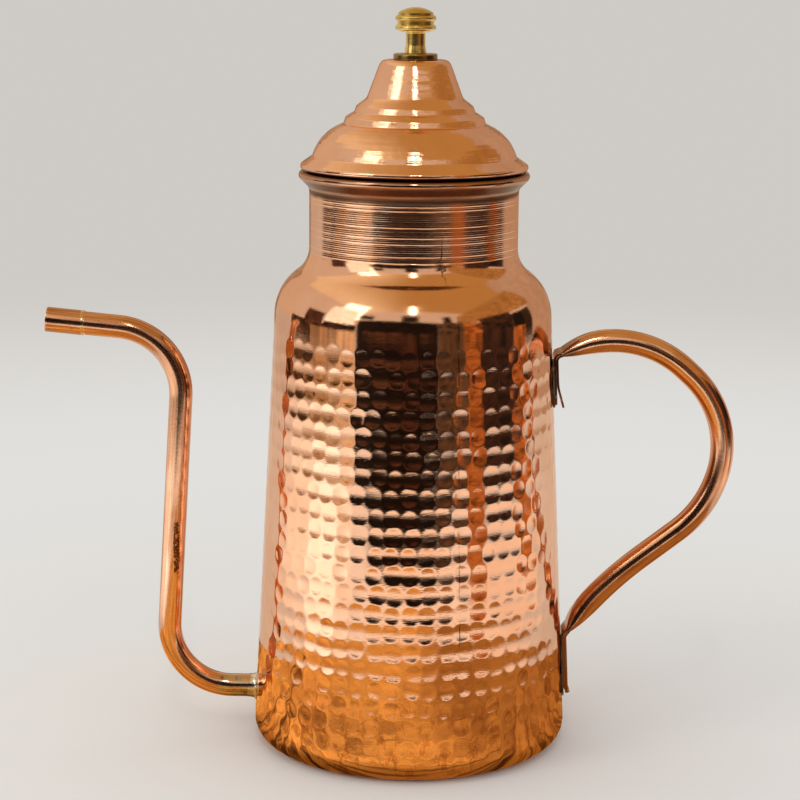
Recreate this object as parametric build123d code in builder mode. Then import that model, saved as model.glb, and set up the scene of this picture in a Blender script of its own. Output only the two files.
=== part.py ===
from build123d import *
import os
from math import asin, atan2, cos, degrees, pi, radians, sin, tan

# A hand-hammered copper oil pourer: a tapered can with a gooseneck spout low on the left,
# a bent-tube handle on the right and a spun lift-off lid with a turned brass knob.
# Millimetres, +Z up. The origin is on the can's axis, at the surface it stands on.
# -X is the spout side, +X the handle side and -Y the front.

# Can, outside sizes
SHEET = 1.0
PAN_JOINT_Z = 11.0
WALL_LOW_R = 64.4
WALL_TOP_R = 56.0
WALL_TOP_Z = 178.4
SHOULDER_R = 22.0
SHOULDER_TURN = 54.0
NECK_R = 42.0
NECK_TOP_Z = 224.8
LIP_TURN = 31.0
LIP_R = 5.0
LIP_LENGTH = 6.4
RIM_BEAD_R = 1.8
WIRE_CLEARANCE = 0.05
PAN_CORNER_R = 8.5

# Copper tube of the spout and the handle
TUBE_R = 4.75
TUBE_WALL = 0.9
HOLE_CLEARANCE = 0.1

# Spout centreline from the tip to its root inside the wall. Its tip and bends are each given by
# a reach out from the line of the wall and a height
SPOUT_SIDE = -1
SPOUT_TIP = (92.2, 173.9)
SPOUT_CREST = (36.3, 168.6)
SPOUT_CREST_R = 27.3
SPOUT_HEEL_REACH = 37.5
SPOUT_HEEL_R = 26.1
SPOUT_Z = 19.6
SPOUT_POKE = 2.5
SLEEVE_LENGTH = 15.3
SLEEVE_WALL = 0.3
SPOUT_SOLDER_LENGTH = 4.0
SPOUT_SOLDER_WAIST = 1.2
SPOUT_SOLDER_ROOT = 1.4
SPOUT_SOLDER_EDGE = 0.2

# Handle centreline from the upper seat to the lower one. The two bends of each half are each
# given by a reach out from the line of the wall and a height above that half's seat
HANDLE_SIDE = 1
HANDLE_TOP_Z = 161.5
HANDLE_TOP_BENDS = ((35.4, 12.0), (75.8, -26.5))
HANDLE_LOW_BENDS = ((60.0, 51.8), (19.3, 21.3))
HANDLE_RADII = (43.0, 41.0, 45.0, 150.0)
HANDLE_LOW_Z = 44.4

# Flattened, bent and slit ends of the handle. The leaves' ends and splits are given by how far
# they lie below the seat
PINCH_START = 2.6
PINCH_TOP_END = 23.0
PINCH_LOW_END = 20.0
PINCH_STATIONS = 6
PINCH_SWELL = 2.4
PINCH_BORE_SHARE = 0.03
TAB_BEND_R = 1.6
TAB_CORNER_R = 4.5
TAB_TOP_INNER_DROP = 20.7
TAB_TOP_TIP_DROP = 21.9
TAB_TOP_SPLIT_DROP = 12.5
TAB_TOP_SPREAD = 2.2
TAB_TOP_CURL_R = 20.0
TAB_LOW_INNER_DROP = 26.1
TAB_LOW_TIP_DROP = 25.5
TAB_LOW_SPLIT_DROP = 22.4
TAB_LOW_SPREAD = 1.9
TAB_LOW_CURL_R = 3.0
BRAZE_FILM = 0.25
BRAZE_MARGIN = 0.7

# Lid, outside sizes. Each outline point lies in from the lid's edge by the first figure and
# above the middle of its rolled edge by the second
LID_SHEET = 0.8
LID_REST_GAP = 0.35
LID_EDGE_INSET = 0.67
LID_BEAD_R = 1.45
FLANGE_SLOPE = 35.0
DOME_FOOT_INSET = 4.7
DOME_FOOT_FILLET = 1.5
DOME_SHOULDER = (7.85, 13.17)
DOME_SHOULDER_FILLET = 19.0
LOW_STEP = ((18.0, 19.5), (17.1, 16.9))
HIGH_STEP = ((22.3, 23.9), (21.4, 21.6))
STEP_TOP_FILLET = 1.2
STEP_FOOT_FILLET = 0.6
CONE_FOOT = (26.4, 27.1)
CONE_FOOT_FILLET = 2.0
CONE_TOP = (32.0, 42.1)
CONE_TOP_FILLET = 3.4
COLLAR_SHEET = 0.8
COLLAR_FIT = 0.4
COLLAR_DEPTH = 13.5
COLLAR_FLANGE = 2.1
COLLAR_FILLET = 0.6

# Knob and its fastener. Knob heights are above its foot
WASHER_R = 8.75
WASHER_THICK = 2.4
KNOB_R = 8.1
KNOB_HEIGHT = 18.1
KNOB_CAP_R = 12.0
KNOB_UPPER_BEAD_Z = 13.8
KNOB_LOWER_BEAD_Z = 10.1
KNOB_BEAD_R = 1.15
KNOB_UNDERSIDE = (5.0, 8.3)
KNOB_STEM_R = 3.85
KNOB_FOOT_R = 4.4
KNOB_FOOT_Z = 3.2
SCREW_R = 2.0
SCREW_REACH = 6.5
SCREW_CLEARANCE = 0.05
SCREW_END_GAP = 1.0
SCREW_HEAD_R = 3.9
SCREW_HEAD_THICK = 2.2
SLOT_WIDTH = 1.0
SLOT_DEPTH = 1.1
INNER_WASHER_R = 6.0
INNER_WASHER_THICK = 0.8

os.makedirs("parts", exist_ok=True)

# Places that follow from the sizes above
taper = degrees(atan2(WALL_LOW_R - WALL_TOP_R, WALL_TOP_Z - PAN_JOINT_Z))


def wall_radius(z):
    """Outside radius of the tapered wall at height z."""
    return WALL_LOW_R - (z - PAN_JOINT_Z) * tan(radians(taper))


def beside_wall(side, bend):
    """Point of the XZ plane at a bend's reach out from the line of the wall and its height."""
    reach, z = bend
    return (side * (wall_radius(z) + reach), z)


shoulder_end_r = WALL_TOP_R - SHOULDER_R * (cos(radians(taper)) - cos(radians(SHOULDER_TURN)))
ogee_r = (shoulder_end_r - NECK_R) / (1 - cos(radians(SHOULDER_TURN)))
lip_along = Vector(sin(radians(LIP_TURN)), cos(radians(LIP_TURN)))
lip_outward = Vector(cos(radians(LIP_TURN)), -sin(radians(LIP_TURN)))
lip_end = Vector(NECK_R + LIP_R, NECK_TOP_Z) - lip_outward * LIP_R + lip_along * LIP_LENGTH
rim_bead = lip_end - lip_outward * RIM_BEAD_R
rim_top_z = rim_bead.Y + RIM_BEAD_R
spout_root_x = SPOUT_SIDE * (wall_radius(SPOUT_Z) - SHEET - SPOUT_POKE)

lid_edge_r = rim_bead.X + RIM_BEAD_R - LID_EDGE_INSET
lid_bead = Vector(lid_edge_r - LID_BEAD_R, rim_top_z + LID_REST_GAP + LID_BEAD_R)
flange_up = Vector(sin(radians(FLANGE_SLOPE)), cos(radians(FLANGE_SLOPE)))
flange_edge = lid_bead + flange_up * LID_BEAD_R
lid_top_z = lid_bead.Y + CONE_TOP[1]
screw_hole_r = SCREW_R + SCREW_CLEARANCE


def on_lid(point):
    """Radius and height of a point of the lid's outline."""
    inset, height = point
    return (lid_edge_r - inset, lid_bead.Y + height)


def under_flange(radius, depth):
    """Point at a radius on the line that lies a depth under the flange's upper face."""
    drop = (radius - flange_edge.X) * tan(radians(FLANGE_SLOPE))
    return (radius, flange_edge.Y - drop - depth / cos(radians(FLANGE_SLOPE)))


# Copper sheet of the can: wall, shoulder, neck and lip, rolled in over the rim wire
with BuildPart() as body_shell:
    with BuildSketch(Plane.XZ):
        with BuildLine():
            wall = Line((WALL_LOW_R, PAN_JOINT_Z), (WALL_TOP_R, WALL_TOP_Z))
            shoulder = JernArc(wall @ 1, wall % 1, SHOULDER_R, SHOULDER_TURN - taper)
            ogee = JernArc(shoulder @ 1, shoulder % 1, ogee_r, -SHOULDER_TURN)
            neck = Line(ogee @ 1, (NECK_R, NECK_TOP_Z))
            flare = JernArc(neck @ 1, neck % 1, LIP_R, -LIP_TURN)
            Line(flare @ 1, lip_end)
            offset(amount=SHEET, side=Side.LEFT, closed=True)
        make_face()
        with Locations(rim_bead):
            Circle(RIM_BEAD_R)
            Circle(RIM_BEAD_R - SHEET, mode=Mode.SUBTRACT)
    revolve(axis=Axis.Z)
    with BuildSketch(Plane.YZ):
        with Locations((0, SPOUT_Z)):
            Circle(TUBE_R + HOLE_CLEARANCE)
    extrude(amount=SPOUT_SIDE * WALL_LOW_R, mode=Mode.SUBTRACT)
body_shell.part.label = "body_shell"
export_step(body_shell.part, "parts/body_shell.step")

# Flat bottom pan with a turned-up wall that meets the can's sheet edge to edge
with BuildPart() as base_pan:
    with BuildSketch(Plane.XZ):
        with BuildLine():
            FilletPolyline((0, 0), (wall_radius(0), 0), (WALL_LOW_R, PAN_JOINT_Z), radius=PAN_CORNER_R)
            offset(amount=SHEET, side=Side.LEFT, closed=True)
        make_face()
    revolve(axis=Axis.Z)
base_pan.part.label = "base_pan"
export_step(base_pan.part, "parts/base_pan.step")

# Wire inside the rolled rim
with BuildPart() as rim_wire:
    with BuildSketch(Plane.XZ):
        with Locations(rim_bead):
            Circle(RIM_BEAD_R - SHEET - WIRE_CLEARANCE)
    revolve(axis=Axis.Z)
rim_wire.part.label = "rim_wire"
export_step(rim_wire.part, "parts/rim_wire.step")

# Gooseneck spout, a bent tube that goes through the wall and opens inside the can
with BuildPart() as spout_tube:
    with BuildLine(Plane.XZ) as spout_line:
        FilletPolyline(
            beside_wall(SPOUT_SIDE, SPOUT_TIP),
            beside_wall(SPOUT_SIDE, SPOUT_CREST),
            beside_wall(SPOUT_SIDE, (SPOUT_HEEL_REACH, SPOUT_Z)),
            (spout_root_x, SPOUT_Z),
            radius=(SPOUT_CREST_R, SPOUT_HEEL_R),
        )
    tip_plane = Plane(origin=spout_line.wire() @ 0, z_dir=spout_line.wire() % 0)
    with BuildSketch(tip_plane):
        Circle(TUBE_R)
        Circle(TUBE_R - TUBE_WALL, mode=Mode.SUBTRACT)
    sweep()
spout_tube.part.label = "spout_tube"
export_step(spout_tube.part, "parts/spout_tube.step")

# Thin sleeve over the spout's tip
with BuildPart() as spout_tip_sleeve:
    with BuildSketch(tip_plane):
        Circle(TUBE_R + SLEEVE_WALL)
        Circle(TUBE_R, mode=Mode.SUBTRACT)
    extrude(amount=SLEEVE_LENGTH)
spout_tip_sleeve.part.label = "spout_tip_sleeve"
export_step(spout_tip_sleeve.part, "parts/spout_tip_sleeve.step")

# Solid of the can inside its tapered wall, cut from whatever is soldered on the wall
with BuildPart() as can_space:
    with Locations((0, 0, PAN_JOINT_Z)):
        Cone(WALL_LOW_R, WALL_TOP_R, WALL_TOP_Z - PAN_JOINT_Z, align=(Align.CENTER, Align.CENTER, Align.MIN))

# Ring of solder where the spout meets the wall
with BuildPart() as spout_solder_collar:
    with BuildSketch(Plane.XZ):
        with Locations((SPOUT_SIDE * wall_radius(SPOUT_Z), SPOUT_Z + TUBE_R)):
            Polygon(
                (-SPOUT_SIDE * TUBE_R, 0),
                (-SPOUT_SIDE * TUBE_R, SPOUT_SOLDER_ROOT),
                (0, SPOUT_SOLDER_ROOT),
                (SPOUT_SIDE * SPOUT_SOLDER_WAIST, SPOUT_SOLDER_ROOT / 2),
                (SPOUT_SIDE * SPOUT_SOLDER_LENGTH, SPOUT_SOLDER_EDGE),
                (SPOUT_SIDE * SPOUT_SOLDER_LENGTH, 0),
                align=None,
            )
    revolve(axis=Axis((0, 0, SPOUT_Z), (1, 0, 0)))
    add(can_space.part, mode=Mode.SUBTRACT)
spout_solder_collar.part.label = "spout_solder_collar"
export_step(spout_solder_collar.part, "parts/spout_solder_collar.step")

# Handle: one tube, flattened at both ends, bent down along the wall and slit into two leaves
flat_thick = 2 * TUBE_WALL
tube_girth = 2 * pi * TUBE_R
flat_width = flat_thick + (tube_girth - pi * flat_thick) / 2
pinch_shares = [station / PINCH_STATIONS for station in range(PINCH_STATIONS + 1)]
bore_shares = [PINCH_BORE_SHARE] + pinch_shares[1:]


def on_seat(z, spread=0.0):
    """Point between a tab's two leaves at height z, drawn away from the wall by the spread."""
    return beside_wall(HANDLE_SIDE, ((BRAZE_FILM + TUBE_WALL) / cos(radians(taper)) + spread, z))


handle_bends = []
for seat_z, bends in ((HANDLE_TOP_Z, HANDLE_TOP_BENDS), (HANDLE_LOW_Z, HANDLE_LOW_BENDS)):
    for reach, rise in bends:
        handle_bends.append(beside_wall(HANDLE_SIDE, (reach, seat_z + rise)))
with BuildLine(Plane.XZ) as handle_line:
    FilletPolyline(on_seat(HANDLE_TOP_Z), *handle_bends, on_seat(HANDLE_LOW_Z), radius=HANDLE_RADII)
handle_path = handle_line.wire()


def stretch(path, start, end):
    """The part of a path between two distances along it."""
    kept = []
    passed = 0.0
    for edge in path.order_edges():
        low = max(start - passed, 0.0) / edge.length
        high = min((end - passed) / edge.length, 1.0)
        if low < high:
            kept.append(edge.trim(low, high))
        passed += edge.length
    return Wire(kept)


def pinch_sections(flat_at, round_at, shares, inset=0.0):
    """Sections of the tube from its flat end to its round run, each with the girth of the tube."""
    sections = []
    for share in shares:
        distance = flat_at + (round_at - flat_at) * share
        opened = 1 - (1 - share) ** PINCH_SWELL
        thick = flat_thick + (2 * TUBE_R - flat_thick) * opened
        width = thick + (tube_girth - pi * thick) / 2
        along = handle_path.tangent_at(distance, position_mode=PositionMode.LENGTH)
        place = handle_path.position_at(distance, position_mode=PositionMode.LENGTH)
        with BuildSketch(Plane(origin=place, x_dir=(0, 1, 0), z_dir=along)) as section:
            if share < 1:
                SlotOverall(width - 2 * inset, thick - 2 * inset)
            else:
                Circle(TUBE_R - inset)
        sections.append(section.sketch)
    return sections


low_flat_at = handle_path.length - PINCH_START
low_round_at = handle_path.length - PINCH_LOW_END
upper_opening = handle_path.position_at(PINCH_START, position_mode=PositionMode.LENGTH)
lower_opening = handle_path.position_at(low_flat_at, position_mode=PositionMode.LENGTH)
leaf_bend_r = TAB_BEND_R + TUBE_WALL

with BuildPart() as handle_tube:
    # Leaf against the wall, then the outer leaf with its lifted tip, at each end
    with BuildSketch(Plane.XZ):
        with BuildLine():
            FilletPolyline(
                on_seat(HANDLE_TOP_Z - TAB_TOP_INNER_DROP),
                on_seat(HANDLE_TOP_Z),
                (upper_opening.X, upper_opening.Z),
                radius=leaf_bend_r,
            )
            offset(amount=TUBE_WALL, side=Side.LEFT, closed=True)
        make_face()
        with BuildLine():
            FilletPolyline(
                on_seat(HANDLE_TOP_Z - TAB_TOP_TIP_DROP, TAB_TOP_SPREAD),
                on_seat(HANDLE_TOP_Z - TAB_TOP_SPLIT_DROP),
                on_seat(HANDLE_TOP_Z),
                (upper_opening.X, upper_opening.Z),
                radius=(TAB_TOP_CURL_R, leaf_bend_r),
            )
            offset(amount=TUBE_WALL, side=Side.RIGHT, closed=True)
        make_face()
        with BuildLine():
            FilletPolyline(
                on_seat(HANDLE_LOW_Z - TAB_LOW_INNER_DROP),
                on_seat(HANDLE_LOW_Z),
                (lower_opening.X, lower_opening.Z),
                radius=leaf_bend_r,
            )
            offset(amount=TUBE_WALL, side=Side.LEFT, closed=True)
        make_face()
        with BuildLine():
            FilletPolyline(
                on_seat(HANDLE_LOW_Z - TAB_LOW_TIP_DROP, TAB_LOW_SPREAD),
                on_seat(HANDLE_LOW_Z - TAB_LOW_SPLIT_DROP),
                on_seat(HANDLE_LOW_Z),
                (lower_opening.X, lower_opening.Z),
                radius=(TAB_LOW_CURL_R, leaf_bend_r),
            )
            offset(amount=TUBE_WALL, side=Side.RIGHT, closed=True)
        make_face()
    extrude(amount=flat_width / 2, both=True)
    # Rounded corners of the tabs, seen from the handle side
    with BuildSketch(Plane.YZ):
        for seat_z, drop in ((HANDLE_TOP_Z, TAB_TOP_TIP_DROP), (HANDLE_LOW_Z, TAB_LOW_INNER_DROP)):
            with Locations((0, seat_z - drop)):
                RectangleRounded(
                    flat_width,
                    drop + PINCH_TOP_END,
                    TAB_CORNER_R,
                    align=(Align.CENTER, Align.MIN),
                )
    extrude(amount=2 * WALL_LOW_R, mode=Mode.INTERSECT)
    # Flattened stretches, and the round run between them
    loft(sections=pinch_sections(PINCH_START, PINCH_TOP_END, pinch_shares))
    loft(sections=pinch_sections(low_flat_at, low_round_at, pinch_shares))
    round_run = stretch(handle_path, PINCH_TOP_END, low_round_at)
    with BuildSketch(Plane(origin=round_run @ 0, z_dir=round_run % 0)):
        Circle(TUBE_R)
    sweep(path=round_run)
    # Bore
    loft(sections=pinch_sections(PINCH_START, PINCH_TOP_END, bore_shares, TUBE_WALL), mode=Mode.SUBTRACT)
    loft(sections=pinch_sections(low_flat_at, low_round_at, bore_shares, TUBE_WALL), mode=Mode.SUBTRACT)
    with BuildSketch(Plane(origin=round_run @ 0, z_dir=round_run % 0)):
        Circle(TUBE_R - TUBE_WALL)
    sweep(path=round_run, mode=Mode.SUBTRACT)
handle_tube.part.label = "handle_tube"
export_step(handle_tube.part, "parts/handle_tube.step")

# Films of solder that hold the two tabs on the wall
films = {
    "upper_handle_solder": (HANDLE_TOP_Z, TAB_TOP_INNER_DROP),
    "lower_handle_solder": (HANDLE_LOW_Z, TAB_LOW_INNER_DROP),
}
for name, (seat_z, drop) in films.items():
    low_z = seat_z - drop
    with BuildPart() as handle_solder:
        film_face = Plane(
            origin=(wall_radius(low_z) + BRAZE_FILM / cos(radians(taper)), 0, low_z),
            x_dir=(0, 1, 0),
            z_dir=(cos(radians(taper)), 0, sin(radians(taper))),
        )
        with BuildSketch(film_face):
            with Locations((0, -BRAZE_MARGIN)):
                RectangleRounded(
                    flat_width + 2 * BRAZE_MARGIN,
                    drop + BRAZE_MARGIN - leaf_bend_r,
                    TAB_CORNER_R,
                    align=(Align.CENTER, Align.MIN),
                )
        extrude(amount=-TUBE_R)
        add(can_space.part, mode=Mode.SUBTRACT)
    handle_solder.part.label = name
    export_step(handle_solder.part, f"parts/{name}.step")

# Spun lid: rolled edge, flange, dome, two steps and a tall cone with a flat top
with BuildPart() as lid_dome:
    with BuildSketch(Plane.XZ):
        with BuildLine():
            FilletPolyline(
                (screw_hole_r, lid_top_z),
                on_lid(CONE_TOP),
                on_lid(CONE_FOOT),
                on_lid(HIGH_STEP[0]),
                on_lid(HIGH_STEP[1]),
                on_lid(LOW_STEP[0]),
                on_lid(LOW_STEP[1]),
                on_lid(DOME_SHOULDER),
                under_flange(lid_edge_r - DOME_FOOT_INSET, 0),
                flange_edge,
                radius=(
                    CONE_TOP_FILLET,
                    CONE_FOOT_FILLET,
                    STEP_TOP_FILLET,
                    STEP_FOOT_FILLET,
                    STEP_TOP_FILLET,
                    STEP_FOOT_FILLET,
                    DOME_SHOULDER_FILLET,
                    DOME_FOOT_FILLET,
                ),
            )
            offset(amount=LID_SHEET, side=Side.RIGHT, closed=True)
        make_face()
        with Locations(lid_bead):
            Circle(LID_BEAD_R)
            Circle(LID_BEAD_R - LID_SHEET, mode=Mode.SUBTRACT)
    revolve(axis=Axis.Z)
lid_dome.part.label = "lid_dome"
export_step(lid_dome.part, "parts/lid_dome.step")

# Wire inside the lid's rolled edge
with BuildPart() as lid_rim_wire:
    with BuildSketch(Plane.XZ):
        with Locations(lid_bead):
            Circle(LID_BEAD_R - LID_SHEET - WIRE_CLEARANCE)
    revolve(axis=Axis.Z)
lid_rim_wire.part.label = "lid_rim_wire"
export_step(lid_rim_wire.part, "parts/lid_rim_wire.step")

# Collar that plugs into the neck, soldered under the lid's flange
collar_r = NECK_R - SHEET - COLLAR_FIT
with BuildPart() as lid_collar:
    with BuildSketch(Plane.XZ):
        with BuildLine():
            FilletPolyline(
                (collar_r, rim_top_z - COLLAR_DEPTH),
                under_flange(collar_r, LID_SHEET + COLLAR_SHEET),
                under_flange(collar_r + COLLAR_FLANGE, LID_SHEET + COLLAR_SHEET),
                radius=COLLAR_FILLET,
            )
            offset(amount=COLLAR_SHEET, side=Side.LEFT, closed=True)
        make_face()
    revolve(axis=Axis.Z)
lid_collar.part.label = "lid_collar"
export_step(lid_collar.part, "parts/lid_collar.step")

# Brass washer between the lid and the knob
with BuildPart() as knob_washer:
    with BuildSketch(Plane.XY.offset(lid_top_z)):
        Circle(WASHER_R)
        Circle(screw_hole_r, mode=Mode.SUBTRACT)
    extrude(amount=WASHER_THICK)
knob_washer.part.label = "knob_washer"
export_step(knob_washer.part, "parts/knob_washer.step")

# Turned brass knob: a waisted stem, two beads with a groove between them, and a low cap
knob_foot_z = lid_top_z + WASHER_THICK
bead_x = KNOB_R - KNOB_BEAD_R
screw_hole_end = SCREW_REACH + SCREW_END_GAP
with BuildPart() as knob:
    with BuildSketch(Plane.XZ.shift_origin((0, 0, knob_foot_z))):
        with BuildLine():
            lower_bead = CenterArc((bead_x, KNOB_LOWER_BEAD_Z), KNOB_BEAD_R, -90, 180)
            upper_bead = CenterArc((bead_x, KNOB_UPPER_BEAD_Z), KNOB_BEAD_R, -90, 180)
            cap = JernArc((0, KNOB_HEIGHT), (1, 0), KNOB_CAP_R, -degrees(asin(bead_x / KNOB_CAP_R)))
            Line(lower_bead @ 1, upper_bead @ 0)
            Line(upper_bead @ 1, cap @ 1)
            Polyline(
                cap @ 0,
                (0, screw_hole_end),
                (screw_hole_r, screw_hole_end),
                (screw_hole_r, 0),
                (KNOB_FOOT_R, 0),
                (KNOB_STEM_R, KNOB_FOOT_Z),
                (KNOB_STEM_R, KNOB_UNDERSIDE[1]),
                KNOB_UNDERSIDE,
                lower_bead @ 0,
            )
        make_face()
    revolve(axis=Axis.Z)
knob.part.label = "knob"
export_step(knob.part, "parts/knob.step")

# Thin washer and slotted screw under the lid's top, reached from inside
lid_underside_z = lid_top_z - LID_SHEET
with BuildPart() as knob_inner_washer:
    with BuildSketch(Plane.XY.offset(lid_underside_z)):
        Circle(INNER_WASHER_R)
        Circle(screw_hole_r, mode=Mode.SUBTRACT)
    extrude(amount=-INNER_WASHER_THICK)
knob_inner_washer.part.label = "knob_inner_washer"
export_step(knob_inner_washer.part, "parts/knob_inner_washer.step")

screw_seat_z = lid_underside_z - INNER_WASHER_THICK
with BuildPart() as knob_screw:
    with BuildSketch(Plane.XY.offset(screw_seat_z)):
        Circle(SCREW_HEAD_R)
    extrude(amount=-SCREW_HEAD_THICK)
    with BuildSketch(Plane.XY.offset(screw_seat_z - SCREW_HEAD_THICK)):
        Rectangle(2 * SCREW_HEAD_R, SLOT_WIDTH)
    extrude(amount=SLOT_DEPTH, mode=Mode.SUBTRACT)
    with BuildSketch(Plane.XY.offset(screw_seat_z)):
        Circle(SCREW_R)
    extrude(amount=knob_foot_z + SCREW_REACH - screw_seat_z)
knob_screw.part.label = "knob_screw"
export_step(knob_screw.part, "parts/knob_screw.step")
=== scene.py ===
# %% [markdown]
# # A hammered copper oil pourer
# The pourer is coppersmith's work: a tapered can beaten all over with a round-faced hammer, a neck
# turned smooth, a gooseneck spout and a handle of bent tube, and a spun lid with a brass knob.
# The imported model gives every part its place. This lesson makes the surfaces that the eye sees, and
# each piece is a new mesh that stands in for the plain one.

# %% Load the frame
import math

import bpy
import numpy as np
from mathutils import Matrix, Vector


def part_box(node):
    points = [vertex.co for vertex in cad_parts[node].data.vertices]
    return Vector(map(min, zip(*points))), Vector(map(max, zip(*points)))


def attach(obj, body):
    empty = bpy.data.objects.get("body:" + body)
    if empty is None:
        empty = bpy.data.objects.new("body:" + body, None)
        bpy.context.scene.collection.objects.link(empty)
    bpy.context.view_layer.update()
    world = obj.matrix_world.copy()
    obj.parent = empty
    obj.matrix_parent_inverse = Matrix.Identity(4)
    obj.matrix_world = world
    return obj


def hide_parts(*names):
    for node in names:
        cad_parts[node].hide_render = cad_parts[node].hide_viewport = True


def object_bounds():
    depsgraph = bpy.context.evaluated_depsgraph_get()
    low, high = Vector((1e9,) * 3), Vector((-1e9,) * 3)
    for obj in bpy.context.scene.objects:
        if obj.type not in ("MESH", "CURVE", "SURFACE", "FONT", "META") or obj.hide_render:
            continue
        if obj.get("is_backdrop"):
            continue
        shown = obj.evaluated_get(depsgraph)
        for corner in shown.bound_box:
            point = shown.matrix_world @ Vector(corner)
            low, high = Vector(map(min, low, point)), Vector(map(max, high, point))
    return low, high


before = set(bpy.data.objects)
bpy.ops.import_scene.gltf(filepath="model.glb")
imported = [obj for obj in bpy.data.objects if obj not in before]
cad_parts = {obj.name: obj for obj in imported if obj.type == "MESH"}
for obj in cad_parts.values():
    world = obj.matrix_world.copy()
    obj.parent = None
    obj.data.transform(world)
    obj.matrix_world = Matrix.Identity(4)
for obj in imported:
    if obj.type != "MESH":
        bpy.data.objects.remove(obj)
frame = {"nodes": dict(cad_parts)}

MM = 0.001
cad_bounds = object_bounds()


def in_mm(values):
    """Lengths in millimetres, rounded for printing."""
    return [round(value / MM, 1) for value in values]


print("CAD box", *map(in_mm, cad_bounds))

# %% [markdown]
# ## Drawing outlines
# Round metalwork is drawn as half of its section, as for a lathe. A line of corners with a radius at
# each corner gives straight runs joined by arcs, and more points are put on the long runs later.
# Outline points are a radius and a height in millimetres.


# %% Rounded lines
def bend_at(before, corner, after, radius):
    """Start, centre, end and signed angle of the arc that rounds a corner."""
    back = (before - corner).normalized()
    ahead = (after - corner).normalized()
    turn = math.pi - back.angle(ahead)
    start = corner + back * radius * math.tan(turn / 2)
    centre = corner + (back + ahead).normalized() * radius / math.cos(turn / 2)
    end = corner + ahead * radius * math.tan(turn / 2)
    return start, centre, end, math.copysign(turn, -back.cross(ahead))


def rounded(corners, radii, step_angle=4.0):
    """Points along a line of corners whose inner corners are rounded by the radii."""
    corners = [Vector(corner) for corner in corners]
    points = [corners[0]]
    for before, corner, after, radius in zip(corners, corners[1:], corners[2:], radii):
        start, centre, _, turn = bend_at(before, corner, after, radius)
        steps = max(2, math.ceil(math.degrees(abs(turn)) / step_angle))
        for step in range(steps + 1):
            points.append(centre + Matrix.Rotation(turn * step / steps, 2) @ (start - centre))
    return points + corners[-1:]


def arc(centre, radius, start, end, step_angle=8.0):
    """Points on an arc between two angles in degrees, counted from outwards towards upwards."""
    steps = max(2, math.ceil(abs(end - start) / step_angle))
    angles = [math.radians(start + (end - start) * step / steps) for step in range(steps + 1)]
    return [Vector(centre) + radius * Vector((math.cos(angle), math.sin(angle))) for angle in angles]


print("a square corner becomes", len(rounded([(0, 0), (9, 0), (9, 9)], [3])), "points")


# %% Spacing and setting in
KEPT_AWAY = 0.97


def spaced(points, step):
    """The same line with no point further than a step from the next."""
    line = [points[0]]
    for start, end in zip(points, points[1:]):
        count = max(1, math.ceil((end - start).length / step))
        line += [start.lerp(end, place / count) for place in range(1, count + 1)]
    return line


def normals_of(points):
    """Unit normal at each point, on the right of the direction of travel."""
    normals = []
    for place in range(len(points)):
        along = (points[min(place + 1, len(points) - 1)] - points[max(place - 1, 0)]).normalized()
        normals.append(Vector((along.y, -along.x)))
    return normals


def set_in(points, thickness):
    """The line that runs a sheet's thickness to the left of a line, without its crossed points."""
    inner = []
    for point, normal in zip(points, normals_of(points)):
        moved = point - normal * thickness
        if min((moved - other).length for other in points) > KEPT_AWAY * thickness:
            inner.append(moved)
    return inner


print("10 mm in steps of up to 3 has", len(spaced([Vector((0, 0)), Vector((10, 0))], 3)), "points")

# %% [markdown]
# ## Turning a piece
# An outline becomes a round piece in three moves, as by hand: a small circle is merged to one vertex,
# that vertex is extruded from point to point, and the Screw modifier sweeps the line round the axis.
# Spinning in edit mode gives the same shape, but it is slow with hundreds of steps.


# %% Starting and extruding
def one_vertex(name, point):
    """A new piece in edit mode, with one selected vertex at an outline point."""
    bpy.ops.object.select_all(action="DESELECT")
    place = (point.x * MM, 0, point.y * MM)
    bpy.ops.mesh.primitive_circle_add(vertices=3, radius=MM, location=place, enter_editmode=True)
    piece = bpy.context.object
    piece.name = name
    bpy.ops.mesh.select_all(action="SELECT")
    bpy.ops.mesh.merge(type="CENTER")
    return piece


def pull(x, y, z):
    """Extrude what is selected by a step in millimetres."""
    bpy.ops.mesh.extrude_region_move(TRANSFORM_OT_translate={"value": (x * MM, y * MM, z * MM)})


# %% Modifiers and finishing
MERGE = 0.002


def apply_modifier(piece, kind, **settings):
    """Add a modifier with its settings and apply it at once."""
    bpy.context.view_layer.objects.active = piece
    modifier = piece.modifiers.new(kind.title(), kind)
    for key, value in settings.items():
        setattr(modifier, key, value)
    bpy.ops.object.modifier_apply(modifier=modifier.name)


def finish_mesh(piece, sharp=35.0):
    """Merge what coincides, turn the faces outwards and shade the piece smooth up to an angle."""
    bpy.ops.object.select_all(action="DESELECT")
    piece.select_set(True)
    bpy.context.view_layer.objects.active = piece
    bpy.ops.object.transform_apply(location=True, rotation=True, scale=True)
    bpy.ops.object.mode_set(mode="EDIT")
    bpy.ops.mesh.select_all(action="SELECT")
    bpy.ops.mesh.remove_doubles(threshold=MERGE * MM)
    bpy.ops.mesh.normals_make_consistent(inside=False)
    bpy.ops.object.mode_set(mode="OBJECT")
    bpy.ops.object.shade_smooth_by_angle(angle=math.radians(sharp))
    return piece


# %% Turning, and taking a node's place
def turned(name, outline, sides=240, sharp=35.0):
    """A round piece from its outline, which is closed if it ends where it starts."""
    piece = one_vertex(name, outline[0])
    for here, there in zip(outline, outline[1:]):
        step = there - here
        pull(step.x, 0, step.y)
    bpy.ops.object.mode_set(mode="OBJECT")
    bpy.ops.object.transform_apply(location=True)
    sweep = {"steps": sides, "render_steps": sides}
    apply_modifier(piece, "SCREW", use_merge_vertices=True, merge_threshold=MERGE * MM, **sweep)
    return finish_mesh(piece, sharp)


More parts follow.
